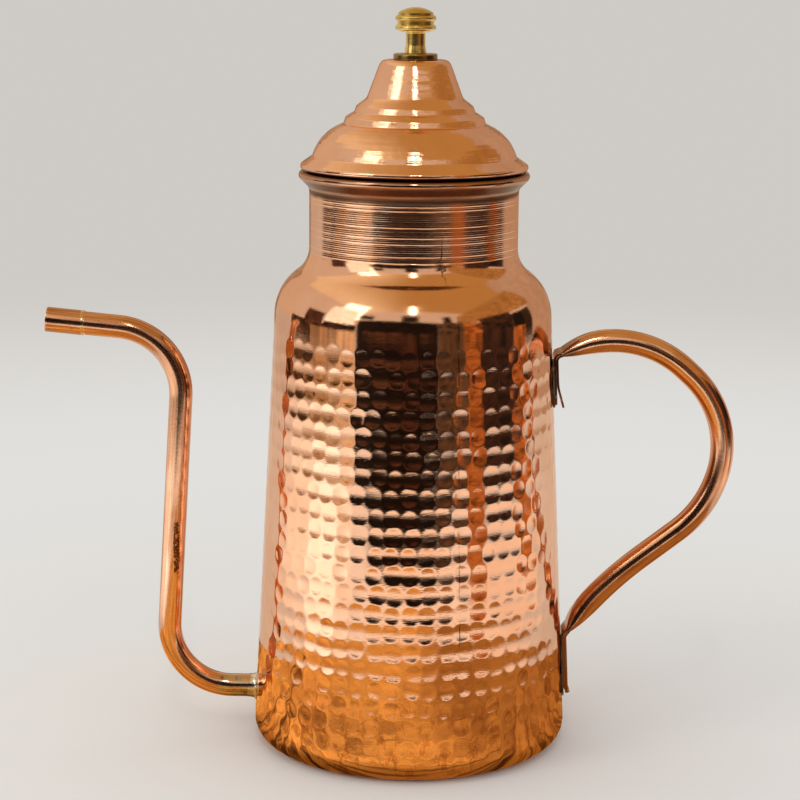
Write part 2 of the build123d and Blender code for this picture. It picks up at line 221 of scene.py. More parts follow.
def stand_for(piece, body, slot, *nodes):
    """Let a piece move with a body and stand for CAD nodes, which are hidden. The slot is not used."""
    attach(piece, body)
    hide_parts(*nodes)
    print(piece.name, "has", len(piece.data.polygons), "faces and stands for", *nodes)
    return piece


# %% [markdown]
# ## The can's outline
# The can is one sheet from the pan to the rolled rim: a straight taper, a round shoulder that turns
# back into a neck, and a flared lip rolled in over a wire. The pan's corner carries on the same line.
# The place where the sheet meets the pan comes from the frame, and the rest is measured on the object.

# %% Sizes of the can
_, body_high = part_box("body_shell")
_, pan_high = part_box("base_pan")
JOINT = Vector((body_high.x, pan_high.z)) / MM
RIM_TOP = body_high.z / MM
SHEET = 1.0
WALL_TOP = Vector((56.0, 178.4))
SHOULDER_R = 22.0
SHOULDER_SLOPE = math.radians(54.0)
NECK_R = 42.0
LIP_SLOPE = math.radians(45.0)
LIP_R = 3.5
LIP_FROM = 227.33
LIP_LENGTH = 3.84
BEAD_R = 1.8
taper = math.atan2(JOINT.x - WALL_TOP.x, WALL_TOP.y - JOINT.y)
wall_up = Vector((-math.sin(taper), math.cos(taper)))
print("the wall leans in by", round(math.degrees(taper), 2), "degrees")


# %% Corners of the can's line
def wall_at(z):
    """Point of the wall's outside at a height."""
    return JOINT + wall_up * (z - JOINT.y) / wall_up.y


def beside_wall(side, reach, z):
    """Point that lies out from the line of the wall by a reach, on one side."""
    return Vector((side * (wall_at(z).x + reach), z))


shoulder_up = Vector((-math.sin(SHOULDER_SLOPE), math.cos(SHOULDER_SLOPE)))
lip_up = Vector((math.sin(LIP_SLOPE), math.cos(LIP_SLOPE)))
shoulder_corner = WALL_TOP + wall_up * SHOULDER_R * math.tan((SHOULDER_SLOPE - taper) / 2)
shoulder_end = shoulder_corner + shoulder_up * SHOULDER_R * math.tan((SHOULDER_SLOPE - taper) / 2)
ogee_r = (shoulder_end.x - NECK_R) / (1 - math.cos(SHOULDER_SLOPE))
neck_corner = shoulder_end + shoulder_up * ogee_r * math.tan(SHOULDER_SLOPE / 2)
lip_corner = Vector((NECK_R, LIP_FROM + LIP_R * math.tan(LIP_SLOPE / 2)))
lip_end = lip_corner + lip_up * (LIP_R * math.tan(LIP_SLOPE / 2) + LIP_LENGTH)
bead = lip_end + Vector((-lip_up.y, lip_up.x)) * BEAD_R
print("rim at", round(bead.y + BEAD_R, 2), "and in the frame at", round(RIM_TOP, 2))

# %% [markdown]
# ## Hammer blows
# The smith works round the can in rows. Each blow of the domed hammer leaves a shallow round dish
# about seven millimetres across, and a narrow band of smooth wall stays between the rows. The rows
# nearly line up at the front and drift apart further round, because they don't all hold the same
# number of blows. The dishes are pressed into the mesh itself, ring by ring, because a polished metal
# shows every slope in its reflections.

# %% The pattern of blows
BLOW_R = 3.7
BLOW_EDGE = 0.02
ROW_TOP = 157.6
ROW_PITCH = 7.67
ROWS = 23
ROW_COUNTS = (56, 55, 57, 54)
ROW_DEPTHS = {0: 0.15, 1: 0.21, 10: 0.21, 18: 0.175, ROWS: 0.10}
draw = np.random.default_rng(11)
each_blow = (ROWS, max(ROW_COUNTS))
row_depth = np.interp(np.arange(ROWS), list(ROW_DEPTHS), list(ROW_DEPTHS.values()))
blow_turn = draw.normal(0, 0.36, each_blow) * MM
blow_rise = draw.normal(0, 0.38, each_blow) * MM
blow_radius = BLOW_R * MM * draw.uniform(0.90, 1.07, each_blow)
blow_depth = row_depth[:, None] * MM * draw.uniform(0.65, 1.2, each_blow)
row_shift = draw.normal(0, 0.7, ROWS) * MM
print("blows", sum(ROW_COUNTS[row % len(ROW_COUNTS)] for row in range(ROWS)))


# %% Slow unevenness
def draw_waves(count, turns, rise):
    """Waves round and up the can: how often each goes round, how fast it climbs, where it starts."""
    around = draw.integers(*turns, count)
    climbs = draw.uniform(-rise, rise, count)
    starts = draw.uniform(0, 2 * math.pi, count)
    return list(zip(around, climbs, starts))


waves = draw_waves(14, (2, 12), 130)
ripples = draw_waves(40, (18, 75), 900)


def height_of(some_waves, angle, along):
    """Height of a set of waves about 1."""
    heights = [np.sin(turns * angle + climb * along + start) for turns, climb, start in some_waves]
    return 1 + sum(heights) / len(heights)


def unevenness(angle, along):
    """Depth of the slow unevenness that handwork leaves in the wall, most of it near the foot."""
    low_share = np.interp(along, (0.030, 0.065), (1, 0.12))
    depth = 0.045 * height_of(waves, angle, along)
    return MM * (depth + 0.11 * low_share * height_of(ripples, angle, along))


print("unevenness at the front", round(float(unevenness(0.0, 0.1)) / MM, 3), "mm")


# %% The depth of the blows
def blows_at(angle, along, radius):
    """Depth of the hammer blows at angles round the can, at a distance along the outline."""
    depth = np.zeros_like(angle)
    nearest = round((ROW_TOP * MM - along) / (ROW_PITCH * MM))
    for row in range(max(nearest - 1, 0), min(nearest + 2, ROWS)):
        count = ROW_COUNTS[row % len(ROW_COUNTS)]
        spacing = 2 * math.pi / count
        front = -math.pi / 2 + row_shift[row] / radius
        column = np.round((angle - front) / spacing).astype(int)
        for side in (-1, 0, 1):
            blow = (column + side) % count
            across = (angle - front - (column + side) * spacing) * radius - blow_turn[row, blow]
            up = along - (ROW_TOP - ROW_PITCH * row) * MM - blow_rise[row, blow]
            inside = 1 - (across**2 + up**2) / blow_radius[row, blow] ** 2
            dish = (inside + np.sqrt(inside**2 + BLOW_EDGE**2)) / 2
            depth = np.maximum(depth, blow_depth[row, blow] * np.where(inside > -1.5, dish, 0))
    return depth


round_the_can = np.linspace(-math.pi, math.pi, 2000)
one_ring = blows_at(round_the_can, 0.1, JOINT.x * MM)
print("deepest blow at one height", round(one_ring.max() / MM, 3), "mm")

# %% Pressing the blows in
SAME_PLACE = 0.01
FADE_LENGTH = 6.0
AXIS_GAP = 1.0


def hammer(piece, outline, start_along, top_along):
    """Press the blows into the rings of a turned piece that lie on its outside outline."""
    places = np.empty(len(piece.data.vertices) * 3)
    piece.data.vertices.foreach_get("co", places)
    places = places.reshape(-1, 3)
    radius = np.hypot(places[:, 0], places[:, 1])
    angle = np.arctan2(places[:, 1], places[:, 0])
    along = start_along * MM
    before = outline[0]
    for point, normal in zip(outline, normals_of(outline)):
        along += (point - before).length * MM
        before = point
        if point.x < AXIS_GAP:
            continue
        near = np.maximum(abs(radius - point.x * MM), abs(places[:, 2] - point.y * MM))
        ring = near < SAME_PLACE * MM
        fade = min(1, max(0, (top_along * MM - along) / (FADE_LENGTH * MM)))
        depth = blows_at(angle[ring], along, point.x * MM) + fade * unevenness(angle[ring], along)
        new_radius = radius[ring] - depth * normal.x
        places[ring, 0] = new_radius * np.cos(angle[ring])
        places[ring, 1] = new_radius * np.sin(angle[ring])
        places[ring, 2] -= depth * normal.y
    piece.data.vertices.foreach_set("co", places.ravel())
    piece.data.update()
    print(piece.name, "hammered in", len(outline), "rings")


# %% [markdown]
# ## The hammered wall
# The wall is made in two bands that meet between two rows of blows, so that each mesh stays light
# enough. Each band is a closed shell: the outside has a ring for every 0.6 millimetres, so that each
# dish is twelve rings high, and the plain inside needs only a few.

# %% Make the wall
WALL_SIDES = 640
WALL_RING = 0.62
INSIDE_RING = 16
ROWS_ABOVE = 10
SPLIT_Z = 175.0
wall_top_point = wall_at(SPLIT_Z)
wall_length = (wall_top_point - JOINT).length
band_joint = JOINT + wall_up * (ROW_TOP - ROW_PITCH * (ROWS_ABOVE - 0.5))
through = Vector((-math.cos(taper), -math.sin(taper))) * SHEET


def wall_band(name, low, high):
    """One hammered band of the wall between two points of its outside."""
    outside = spaced([low, high], WALL_RING)
    inside = spaced([high + through, low + through], INSIDE_RING)
    band = turned(name, outside + inside + [low], WALL_SIDES)
    hammer(band, outside, (low - JOINT).length, wall_length)
    return stand_for(band, "vessel", "hammered_copper", "body_shell")


low_wall = wall_band("low_wall", JOINT, band_joint)
high_wall = wall_band("high_wall", band_joint, wall_top_point)

# %% [markdown]
# ## Shoulder, neck and rolled rim
# Above the last row the sheet is planished smooth. The neck is then scored by a lathe tool with fine
# rings, a little uneven in depth and spacing, and the lip is rolled over its wire. The rings are real
# grooves in the outline.

# %% Draw the neck's outside
SCORE_LOW, SCORE_HIGH = 203.5, 227.0
SCORE_DEPTH = 0.105
SCORE_RING = 0.27
neck_outside = rounded(
    [wall_top_point, shoulder_corner, neck_corner, lip_corner, lip_end],
    [SHOULDER_R, ogee_r, LIP_R],
    2.5,
)
plain = [point for point in spaced(neck_outside, 1.0) if point.y < SCORE_LOW]
above = [point for point in spaced(neck_outside, 0.6) if point.y > SCORE_HIGH]
scored = [point for point in spaced(neck_outside, SCORE_RING) if SCORE_LOW <= point.y <= SCORE_HIGH]
score_draw = np.random.default_rng(5)
for place, point in enumerate(scored):
    cut = score_draw.uniform(0.4, 1) ** 1.3 if place % 3 == 0 else 0.12 * score_draw.uniform(0, 1)
    scored[place] = Vector((point.x - SCORE_DEPTH * cut, point.y))
print(len(scored) // 3, "score lines")

# %% Make the neck
CLEAR = 0.3
lip_angle = math.degrees(LIP_SLOPE)
meets_wall = math.degrees(math.acos((BEAD_R - SHEET) / BEAD_R))
roll = arc(bead, BEAD_R, -lip_angle, 360 - lip_angle - meets_wall)
inside_line = reversed(set_in(spaced(neck_outside, 1.4), SHEET))
neck_inside = [point for point in inside_line if point.y < roll[-1].y - CLEAR]
neck_line = plain + scored + above + roll[1:] + neck_inside + [neck_outside[0]]
can_neck = turned("can_neck", neck_line, 348)
stand_for(can_neck, "vessel", "hammered_copper", "body_shell")

# %% [markdown]
# ## The pan
# The bottom is a shallow pan whose turned-up wall meets the sheet. The hammering goes on over its
# round corner and stops before the flat. The flat needs few rings, so most of them are left out.

# %% Make the pan
PAN_CORNER_R = 8.5
PAN_HAMMERED = 14
foot_corner = wall_at(0)
pan_corners = [(0, 0), foot_corner, JOINT]
pan_outside = spaced(rounded(pan_corners, [PAN_CORNER_R], 5), 0.95)
pan_flat = [point for point in pan_outside if point.x < foot_corner.x - PAN_HAMMERED]
pan_outside = pan_flat[::8] + pan_outside[len(pan_flat) :]
pan_inside = set_in(rounded(pan_corners, [PAN_CORNER_R], 10), SHEET)
can_bottom = turned("can_bottom", pan_outside + pan_inside[::-1], WALL_SIDES)
pan_length = sum((b - a).length for a, b in zip(pan_outside, pan_outside[1:]))
hammer(can_bottom, pan_outside, -pan_length, math.inf)
stand_for(can_bottom, "vessel", "hammered_copper", "base_pan")

# %% [markdown]
# ## Bent tubes
# The spout and the handle are pieces of the same tube. A circle is extruded along each straight run
# and spun round each bend, which is how a tube bender works too. A tube or strip that is open is drawn
# as a surface, gets its wall from Solidify, and has its edges broken with a small bevel.


# %% Tube helpers
def pull_run(run, longest):
    """Extrude what is selected along a run, in equal steps of about a length."""
    count = max(1, round(run.length / longest))
    for _ in range(count):
        pull(run.x / count, 0, run.y / count)


def bent_tube(name, corners, radii, tube_r, run_step=3.0, bend_step=3.0, sides=72):
    """An open tube along a line of corners in the XZ plane."""
    at = corners[0]
    along = corners[1] - at
    bpy.ops.object.select_all(action="DESELECT")
    bpy.ops.mesh.primitive_circle_add(
        vertices=sides,
        radius=tube_r * MM,
        location=(at.x * MM, 0, at.y * MM),
        rotation=(0, math.atan2(along.x, along.y), 0),
        enter_editmode=True,
    )
    piece = bpy.context.object
    piece.name = name
    bpy.ops.mesh.select_all(action="SELECT")
    for before, corner, after, radius in zip(corners, corners[1:], corners[2:], radii):
        start, centre, end, turn = bend_at(before, corner, after, radius)
        pull_run(start - at, run_step)
        steps = max(2, round(math.degrees(abs(turn)) / bend_step))
        hub = (centre.x * MM, 0, centre.y * MM)
        bpy.ops.mesh.spin(steps=steps, angle=turn, center=hub, axis=(0, 1, 0))
        at = end
    pull_run(corners[-1] - at, run_step)
    bpy.ops.object.mode_set(mode="OBJECT")
    return piece


def thicken(piece, thickness, ease, offset=-1.0):
    """Give an open surface the thickness of its sheet and round its sharp edges."""
    finish_mesh(piece)
    apply_modifier(piece, "SOLIDIFY", thickness=thickness * MM, offset=offset)
    apply_modifier(piece, "BEVEL", width=ease * MM, segments=2, angle_limit=math.radians(50))
    return finish_mesh(piece)


# %% [markdown]
# ## The spout
# The spout leaves the wall near the foot, climbs beside the can and ends in a thin sleeve. Its line is
# given by how far each corner lies out from the wall and how high it is.

# %% Make the spout
TUBE_R = 4.75
TUBE_WALL = 0.9
SPOUT_Z = 19.6
SPOUT_REACHES = ((92.2, 173.9), (36.3, 168.6), (37.5, SPOUT_Z))
SPOUT_RADII = (27.3, 26.1)
SPOUT_POKE = 2.5
spout_corners = [beside_wall(-1, reach, z) for reach, z in SPOUT_REACHES]
spout_corners.append(beside_wall(-1, -SHEET - SPOUT_POKE, SPOUT_Z))
spout = thicken(bent_tube("spout", spout_corners, SPOUT_RADII, TUBE_R), TUBE_WALL, 0.15)
stand_for(spout, "vessel", "copper_tube", "spout_tube")

# %% Make the sleeve
SLEEVE_WALL = 0.3
SLEEVE_LENGTH = 15.3
tip, crest = spout_corners[:2]
inward = (crest - tip).normalized()
sleeve_line = [tip, tip + inward * SLEEVE_LENGTH]
sleeve = bent_tube("spout_sleeve", sleeve_line, [], TUBE_R + SLEEVE_WALL, 1.0)
thicken(sleeve, SLEEVE_WALL, 0.13)
stand_for(sleeve, "vessel", "spun_copper", "spout_tip_sleeve")

# %% [markdown]
# ## The handle
# The handle is the same tube, but its ends are squeezed flat, bent down along the wall, soldered and
# slit, so that the outer half of each end lifts like the tail of a swallow. The tube is drawn round
# and its end rings are then squeezed in code, each ring keeping its girth, because no operator
# flattens a tube that way.

# %% Sizes of the handle
HANDLE_TOP_Z = 161.5
HANDLE_LOW_Z = 44.4
HANDLE_RADII = (43.0, 41.0, 45.0, 150.0)
HANDLE_SIDES = 72
PINCH_START = 2.6
PINCH_TOP_END = 23.0
PINCH_LOW_END = 20.0
PINCH_SWELL = 2.4
FILM = 0.25


def on_seat(z, spread=0.0):
    """Point between a tab's two leaves at a height, drawn away from the wall by the spread."""
    return beside_wall(1, (FILM + TUBE_WALL) / math.cos(taper) + spread, z)


handle_corners = [
    on_seat(HANDLE_TOP_Z),
    beside_wall(1, 35.4, HANDLE_TOP_Z + 12.0),
    beside_wall(1, 75.75, HANDLE_TOP_Z - 26.5),
    beside_wall(1, 60.0, HANDLE_LOW_Z + 51.8),
    beside_wall(1, 19.3, HANDLE_LOW_Z + 21.3),
    on_seat(HANDLE_LOW_Z),
]
flat_thick = 2 * TUBE_WALL
girth = 2 * math.pi * TUBE_R
flat_width = flat_thick + (girth - math.pi * flat_thick) / 2
print("the tube squeezed flat is", round(flat_width, 2), "mm wide")


# %% The shape of a squeezed ring
def slot_point(share, width, thick):
    """Point at a share of the way round a slot, from the middle of one flat side."""
    straight = width - thick
    half_turn = math.pi * thick / 2
    gone = abs(share) * 2 * (straight + half_turn)
    if gone <= straight / 2:
        place = Vector((thick / 2, gone))
    elif gone <= straight / 2 + half_turn:
        turn = (gone - straight / 2) / (thick / 2)
        place = Vector((thick / 2 * math.cos(turn), straight / 2 + thick / 2 * math.sin(turn)))
    else:
        place = Vector((-thick / 2, straight + half_turn - gone))
    return Vector((place.x, math.copysign(place.y, share)))


print("a quarter of the way round", slot_point(0.25, flat_width, flat_thick))


# %% Squeezing the ends
def squeeze_ends(piece, sides):
    """Flatten the tube's rings towards its two ends. Each ring keeps its girth."""
    spots = [vertex.co.copy() for vertex in piece.data.vertices]
    rings = [spots[start : start + sides] for start in range(0, len(spots), sides)]
    centres = [sum(ring, Vector()) / sides for ring in rings]
    gone = [0.0]
    for here, there in zip(centres, centres[1:]):
        gone.append(gone[-1] + (there - here).length / MM)
    for place, ring in enumerate(rings):
        top_share = (gone[place] - PINCH_START) / (PINCH_TOP_END - PINCH_START)
        low_share = (gone[-1] - gone[place] - PINCH_START) / (PINCH_LOW_END - PINCH_START)
        share = min(top_share, low_share)
        if share >= 1:
            continue
        thick = flat_thick + (2 * TUBE_R - flat_thick) * (1 - (1 - max(share, 0)) ** PINCH_SWELL)
        width = thick + (girth - math.pi * thick) / 2
        near = centres[max(place - 1, 0)]
        far = centres[min(place + 1, len(centres) - 1)]
        outward = (far - near).cross(Vector((0, 1, 0))).normalized()
        for side, spot in enumerate(ring):
            arm = spot - centres[place]
            turn = math.atan2(arm.y, arm.dot(outward)) / (2 * math.pi)
            flat = slot_point(turn, width, thick) * MM
            moved = centres[place] + outward * flat.x + Vector((0, flat.y, 0))
            piece.data.vertices[place * sides + side].co = moved
    piece.data.update()


# %% Make the handle tube
handle = bent_tube("handle", handle_corners, HANDLE_RADII, TUBE_R, 1.0, 1.5, HANDLE_SIDES)
squeeze_ends(handle, HANDLE_SIDES)
bpy.context.view_layer.objects.active = handle
bpy.ops.object.mode_set(mode="EDIT")
bpy.ops.mesh.select_all(action="SELECT")
bpy.ops.mesh.region_to_loop()
bpy.ops.mesh.edge_face_add()
bpy.ops.object.mode_set(mode="OBJECT")
finish_mesh(handle, 60)
stand_for(handle, "vessel", "copper_tube", "handle_tube")

# %% [markdown]
# ## The four leaves
# Each flat end is two leaves of sheet, one soldered to the wall and one that lifts off it. A leaf is an
# edge that is extruded up its line and widened over the first few millimetres, which rounds its tip.


# %% Where the slits begin
def path_point(corners, radii, distance):
    """Point at a distance along a line of rounded corners."""
    line = spaced(rounded(corners, radii, 0.5), 0.2)
    for here, there in zip(line, line[1:]):
        step = (there - here).length
        if distance <= step:
            return here.lerp(there, distance / step)
        distance -= step
    return line[-1]


upper_opening = path_point(handle_corners, HANDLE_RADII, PINCH_START)
lower_opening = path_point(handle_corners[::-1], HANDLE_RADII[::-1], PINCH_START)
print("the slits begin at", upper_opening, lower_opening)

# %% Drawing a leaf
TIP_ROUND = 4.5
LEAF_EASE = 0.14
LEAF_STRIPS = 6


def leaf(name, corners, radii, offset):
    """A strip of sheet with a rounded tip, drawn from the tip up its line."""
    line = spaced(rounded(corners, radii, 6), 0.9)
    straight = flat_width - 2 * TIP_ROUND
    piece = one_vertex(name, line[0])
    bpy.ops.transform.translate(value=(0, -straight / 2 * MM, 0))
    for _ in range(LEAF_STRIPS):
        pull(0, straight / LEAF_STRIPS, 0)
    bpy.ops.mesh.select_all(action="SELECT")
    width, gone = straight, 0.0
    for here, there in zip(line, line[1:]):
        step = there - here
        gone += step.length
        room = TIP_ROUND - min(gone, TIP_ROUND)
        wider = straight + 2 * math.sqrt(TIP_ROUND**2 - room**2)
        pull(step.x, 0, step.y)
        bpy.ops.transform.resize(value=(1, wider / width, 1))
        width = wider
    bpy.ops.object.mode_set(mode="OBJECT")
    thicken(piece, TUBE_WALL, LEAF_EASE, offset)
    return stand_for(piece, "vessel", "copper_tube", "handle_tube")


# %% Make the leaves
TAB_BEND_R = 1.6 + TUBE_WALL
TABS = (
    ("upper", HANDLE_TOP_Z, upper_opening, 20.7, 21.9, 12.5, 2.2, 20.0),
    ("lower", HANDLE_LOW_Z, lower_opening, 26.1, 25.5, 22.4, 1.9, 3.0),
)
leaves = []
for end, seat_z, opening, inner, outer, split, spread, curl in TABS:
    inner_line = [on_seat(seat_z - inner), on_seat(seat_z), opening]
    outer_line = [on_seat(seat_z - outer, spread), on_seat(seat_z - split), on_seat(seat_z), opening]
    leaves.append(leaf(f"{end}_inner_leaf", inner_line, [TAB_BEND_R], 1))
    leaves.append(leaf(f"{end}_outer_leaf", outer_line, [curl, TAB_BEND_R], -1))
print("leaves", *[in_mm(piece.dimensions) for piece in leaves])

# %% [markdown]
# ## Solder at the spout
# Soft solder has run round the root of the spout and pulled up the tube unevenly. Its edge is drawn by
# a few slow waves round the tube, and each section is a hollow fillet between the wall and the tube.

# %% Draw a section of the solder
SOLDER_REACH = 3.3
SOLDER_ROOT = 1.3
SOLDER_EDGE = 0.12
SOLDER_TUCK = 0.3
SOLDER_BITE = 1.2


def solder_section(angle, steps=7):
    """Points of the fillet at an angle round the tube: down its hollow face and back inside."""
    around = Vector((0, math.cos(angle), math.sin(angle)))
    reach = SOLDER_REACH + 0.45 * math.sin(angle * 2 + 1) + 0.2 * math.sin(angle * 5)
    root = SOLDER_ROOT + 0.22 * math.sin(angle * 3 + 2) + 0.1 * math.sin(angle * 7)
    foot = around * (TUBE_R + root)
    foot_x = -math.sqrt(wall_at(foot.z + SPOUT_Z).x ** 2 - foot.y**2)
    spots = []
    for step in range(steps + 1):
        turn = math.pi / 2 * step / steps
        off = (root - SOLDER_EDGE) * (1 - math.sin(turn)) + SOLDER_EDGE
        spots.append((off, foot_x - reach * (1 - math.cos(turn)) ** 1.2))
    spots += [(-SOLDER_TUCK, spots[-1][1]), (-SOLDER_TUCK, foot_x + SOLDER_BITE)]
    spots.append((root, foot_x + SOLDER_BITE))
    return [(around * (TUBE_R + off) + Vector((x, 0, SPOUT_Z))) * MM for off, x in spots]


# %% Make the solder ring
SOLDER_SIDES = 96


def from_points(name, points, faces):
    """A piece made straight from points and faces."""
    mesh = bpy.data.meshes.new(name)
    mesh.from_pydata([tuple(point) for point in points], [], faces)
    piece = bpy.data.objects.new(name, mesh)
    bpy.context.scene.collection.objects.link(piece)
    return piece


sections = [solder_section(2 * math.pi * side / SOLDER_SIDES) for side in range(SOLDER_SIDES)]
rows = len(sections[0])
faces = []
for side in range(SOLDER_SIDES):
    for row in range(rows):
        corners = ((side, row), (side, row + 1), (side + 1, row + 1), (side + 1, row))
        faces.append([(a % SOLDER_SIDES) * rows + b % rows for a, b in corners])
solder = finish_mesh(from_points("spout_solder", sum(sections, []), faces), 60)
stand_for(solder, "vessel", "solder", "spout_solder_collar")

# %% [markdown]
# ## The lid
# The lid is spun from one disc: a rolled edge, a sloping flange, a dome, two small steps and a tall
# cone. The spinning tool leaves shallow waves in the sheet, and they are part of the outline.

# %% Draw the lid
lid_low, lid_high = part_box("lid_dome")
LID_R = lid_high.x / MM
LID_TOP = lid_high.z / MM
LID_SHEET = 0.8
LID_BEAD_R = 1.45
FLANGE_SLOPE = math.radians(35)
lid_bead = Vector((LID_R - LID_BEAD_R, lid_low.z / MM + LID_BEAD_R))
flange_up = Vector((math.sin(FLANGE_SLOPE), math.cos(FLANGE_SLOPE)))
flange_edge = lid_bead + flange_up * LID_BEAD_R


def on_lid(inset, rise):
    """Point of the lid's outline, in from its edge and up from the middle of its rolled edge."""
    return Vector((LID_R - inset, lid_bead.y + rise))


def on_flange(radius, depth=0.0):
    """Point at a radius, a depth under the flange's upper face."""
    drop = (radius - flange_edge.x) * math.tan(FLANGE_SLOPE)
    return Vector((radius, flange_edge.y - drop - depth / math.cos(FLANGE_SLOPE)))


LID_STEPS = ((7.85, 13.17), (17.1, 16.9), (18.0, 19.5), (21.4, 21.6), (22.3, 23.9))
LID_CONE = ((26.4, 27.1), (32.0, 42.1))
LID_RADII = [1.5, 19.0, 0.6, 1.2, 0.6, 1.2, 2.0, 3.4]
lid_corners = [flange_edge, on_flange(LID_R - 4.7)]
lid_corners += [on_lid(*place) for place in LID_STEPS + LID_CONE]
lid_line = rounded([*lid_corners, (2.1, LID_TOP)], LID_RADII, 7)
print("the lid is", round(2 * LID_R, 1), "mm across and its top is at", round(LID_TOP, 1))

# %% Make the lid
SPIN_WAVE = 0.008
SPIN_RIDGES = ((3.1, 0.020), (1.7, 0.008), (5.3, 0.022))
WAVY_FROM, WAVY_TO = 4, LID_R - 3
lid_outside = spaced(lid_line, 0.45)
meets_flange = math.degrees(math.acos((LID_BEAD_R - LID_SHEET) / LID_BEAD_R))
flange_angle = 90 - math.degrees(FLANGE_SLOPE)
lid_roll = arc(lid_bead, LID_BEAD_R, flange_angle + meets_flange - 360, flange_angle)
inside_line = reversed(set_in(spaced(lid_line, 1.5), LID_SHEET))
lid_inside = [point for point in inside_line if (point - lid_bead).length > LID_BEAD_R + CLEAR]
spin_draw = np.random.default_rng(3)
wavy = []
along_lid = 0.0
for place, (point, normal) in enumerate(zip(lid_outside, normals_of(lid_outside))):
    along_lid += (point - lid_outside[max(place - 1, 0)]).length
    lift = SPIN_WAVE * spin_draw.uniform(-1, 1)
    lift += sum(height * math.sin(2 * math.pi * along_lid / pitch) for pitch, height in SPIN_RIDGES)
    wavy.append(point + normal * lift if WAVY_FROM < point.x < WAVY_TO else point)
lid = turned("lid", lid_roll[:-1] + wavy + lid_inside + [lid_roll[0]], 288, 40)
stand_for(lid, "lid", "spun_copper", "lid_dome")

# %% [markdown]
# ## The collar
# Under the flange a collar of the same sheet plugs into the neck and keeps the lid from sliding off.
# It is seen only when the lid is lifted. Its upper edge turns out along the flange, to be soldered.

# %% Make the collar
COLLAR_R = NECK_R - SHEET - 0.4
COLLAR_SHEET = 0.8
COLLAR_LOW = RIM_TOP - 13.5
under = LID_SHEET + COLLAR_SHEET
collar_corners = [(COLLAR_R, COLLAR_LOW), on_flange(COLLAR_R, under), on_flange(COLLAR_R + 2.1, under)]
collar_line = rounded(collar_corners, [0.6], 15)
collar_inside = set_in(collar_line, COLLAR_SHEET)
collar = turned("collar", collar_line + collar_inside[::-1] + [collar_line[0]], 240)
stand_for(collar, "lid", "spun_copper", "lid_collar")

# %% [markdown]
# ## The knob
# The knob is turned from brass bar: a waisted stem, two beads with a groove between them and a low
# cap. It stands on a thick washer. Both have the hole that the screw comes up through.

# %% Make the washer
WASHER_R, WASHER_THICK = 8.75, 2.4
WASHER_TOP = LID_TOP + WASHER_THICK
HOLE_R, HOLE_END = 2.05, 7.5
washer_corners = [(5, LID_TOP), (WASHER_R, LID_TOP), (WASHER_R, WASHER_TOP), (5, WASHER_TOP)]
washer_line = rounded(washer_corners, [0.35, 0.7], 15)
washer_bore = [Vector((HOLE_R, WASHER_TOP)), Vector((HOLE_R, LID_TOP))]
washer = turned("washer", washer_line + washer_bore + [washer_line[0]], 160)
stand_for(washer, "lid", "knob_brass", "knob_washer")

# %% Make the knob
KNOB_BEADS = (10.1, 13.8)
KNOB_BEAD_R = 1.15
KNOB_R = 8.1
KNOB_HEIGHT = 18.1
KNOB_CAP_R = 12.0
STEM = ((3, 0), (4.4, 0), (3.85, 3.2), (3.85, 8.3), (5.0, 8.3))
bead_x = KNOB_R - KNOB_BEAD_R
cap_angle = math.degrees(math.acos(bead_x / KNOB_CAP_R))
knob_line = rounded([*STEM, (bead_x, 8.9)], [0.3, 1.2, 0.5, 0.4], 15)[:-1]
knob_hole = [Vector((0, HOLE_END)), Vector((HOLE_R, HOLE_END)), Vector((HOLE_R, 0)), knob_line[0]]
knob_line += arc((bead_x, KNOB_BEADS[0]), KNOB_BEAD_R, -80, 80, 15)
knob_line += arc((bead_x, KNOB_BEADS[1]), KNOB_BEAD_R, -80, 90, 15)
knob_line += arc((0, KNOB_HEIGHT - KNOB_CAP_R), KNOB_CAP_R, cap_angle, 90, 3)
knob_foot = Vector((0, WASHER_TOP))
knob = turned("brass_knob", [point + knob_foot for point in knob_line + knob_hole], 160, 30)
stand_for(knob, "lid", "knob_brass", "knob")

# %% [markdown]
# ## Building finishes
# Each finish is built from nodes that read the position on the object, so nothing depends on the
# camera. A small class lets a socket be added, multiplied and compared like a number, and every node
# comes from one method.


# %% Sums of sockets
class Signal:
    """A shader socket that takes part in sums like a number."""

    def __init__(self, nodes, socket):
        self.nodes = nodes
        self.socket = socket

    def reckon(self, operation, *values):
        return self.nodes.node("Math", dict(enumerate(values)), operation=operation)

    def __add__(self, other):
        return self.reckon("ADD", self, other)

    def __sub__(self, other):
        return self.reckon("SUBTRACT", self, other)

    def __rsub__(self, other):
        return self.reckon("SUBTRACT", other, self)

    def __mul__(self, other):
        return self.reckon("MULTIPLY", self, other)

    def __abs__(self):
        return self.reckon("ABSOLUTE", self)

    __radd__ = __add__
    __rmul__ = __mul__

    def between(self, low, high):
        """0 at the low value, 1 at the high value and a smooth rise between them."""
        inputs = {0: self, 1: low, 2: high}
        return self.nodes.node("MapRange", inputs, interpolation_type="SMOOTHSTEP")

    def band(self, rise, fall):
        """1 between a rise and a fall, each from one value to another."""
        return self.between(*rise) * (1 - self.between(*fall))


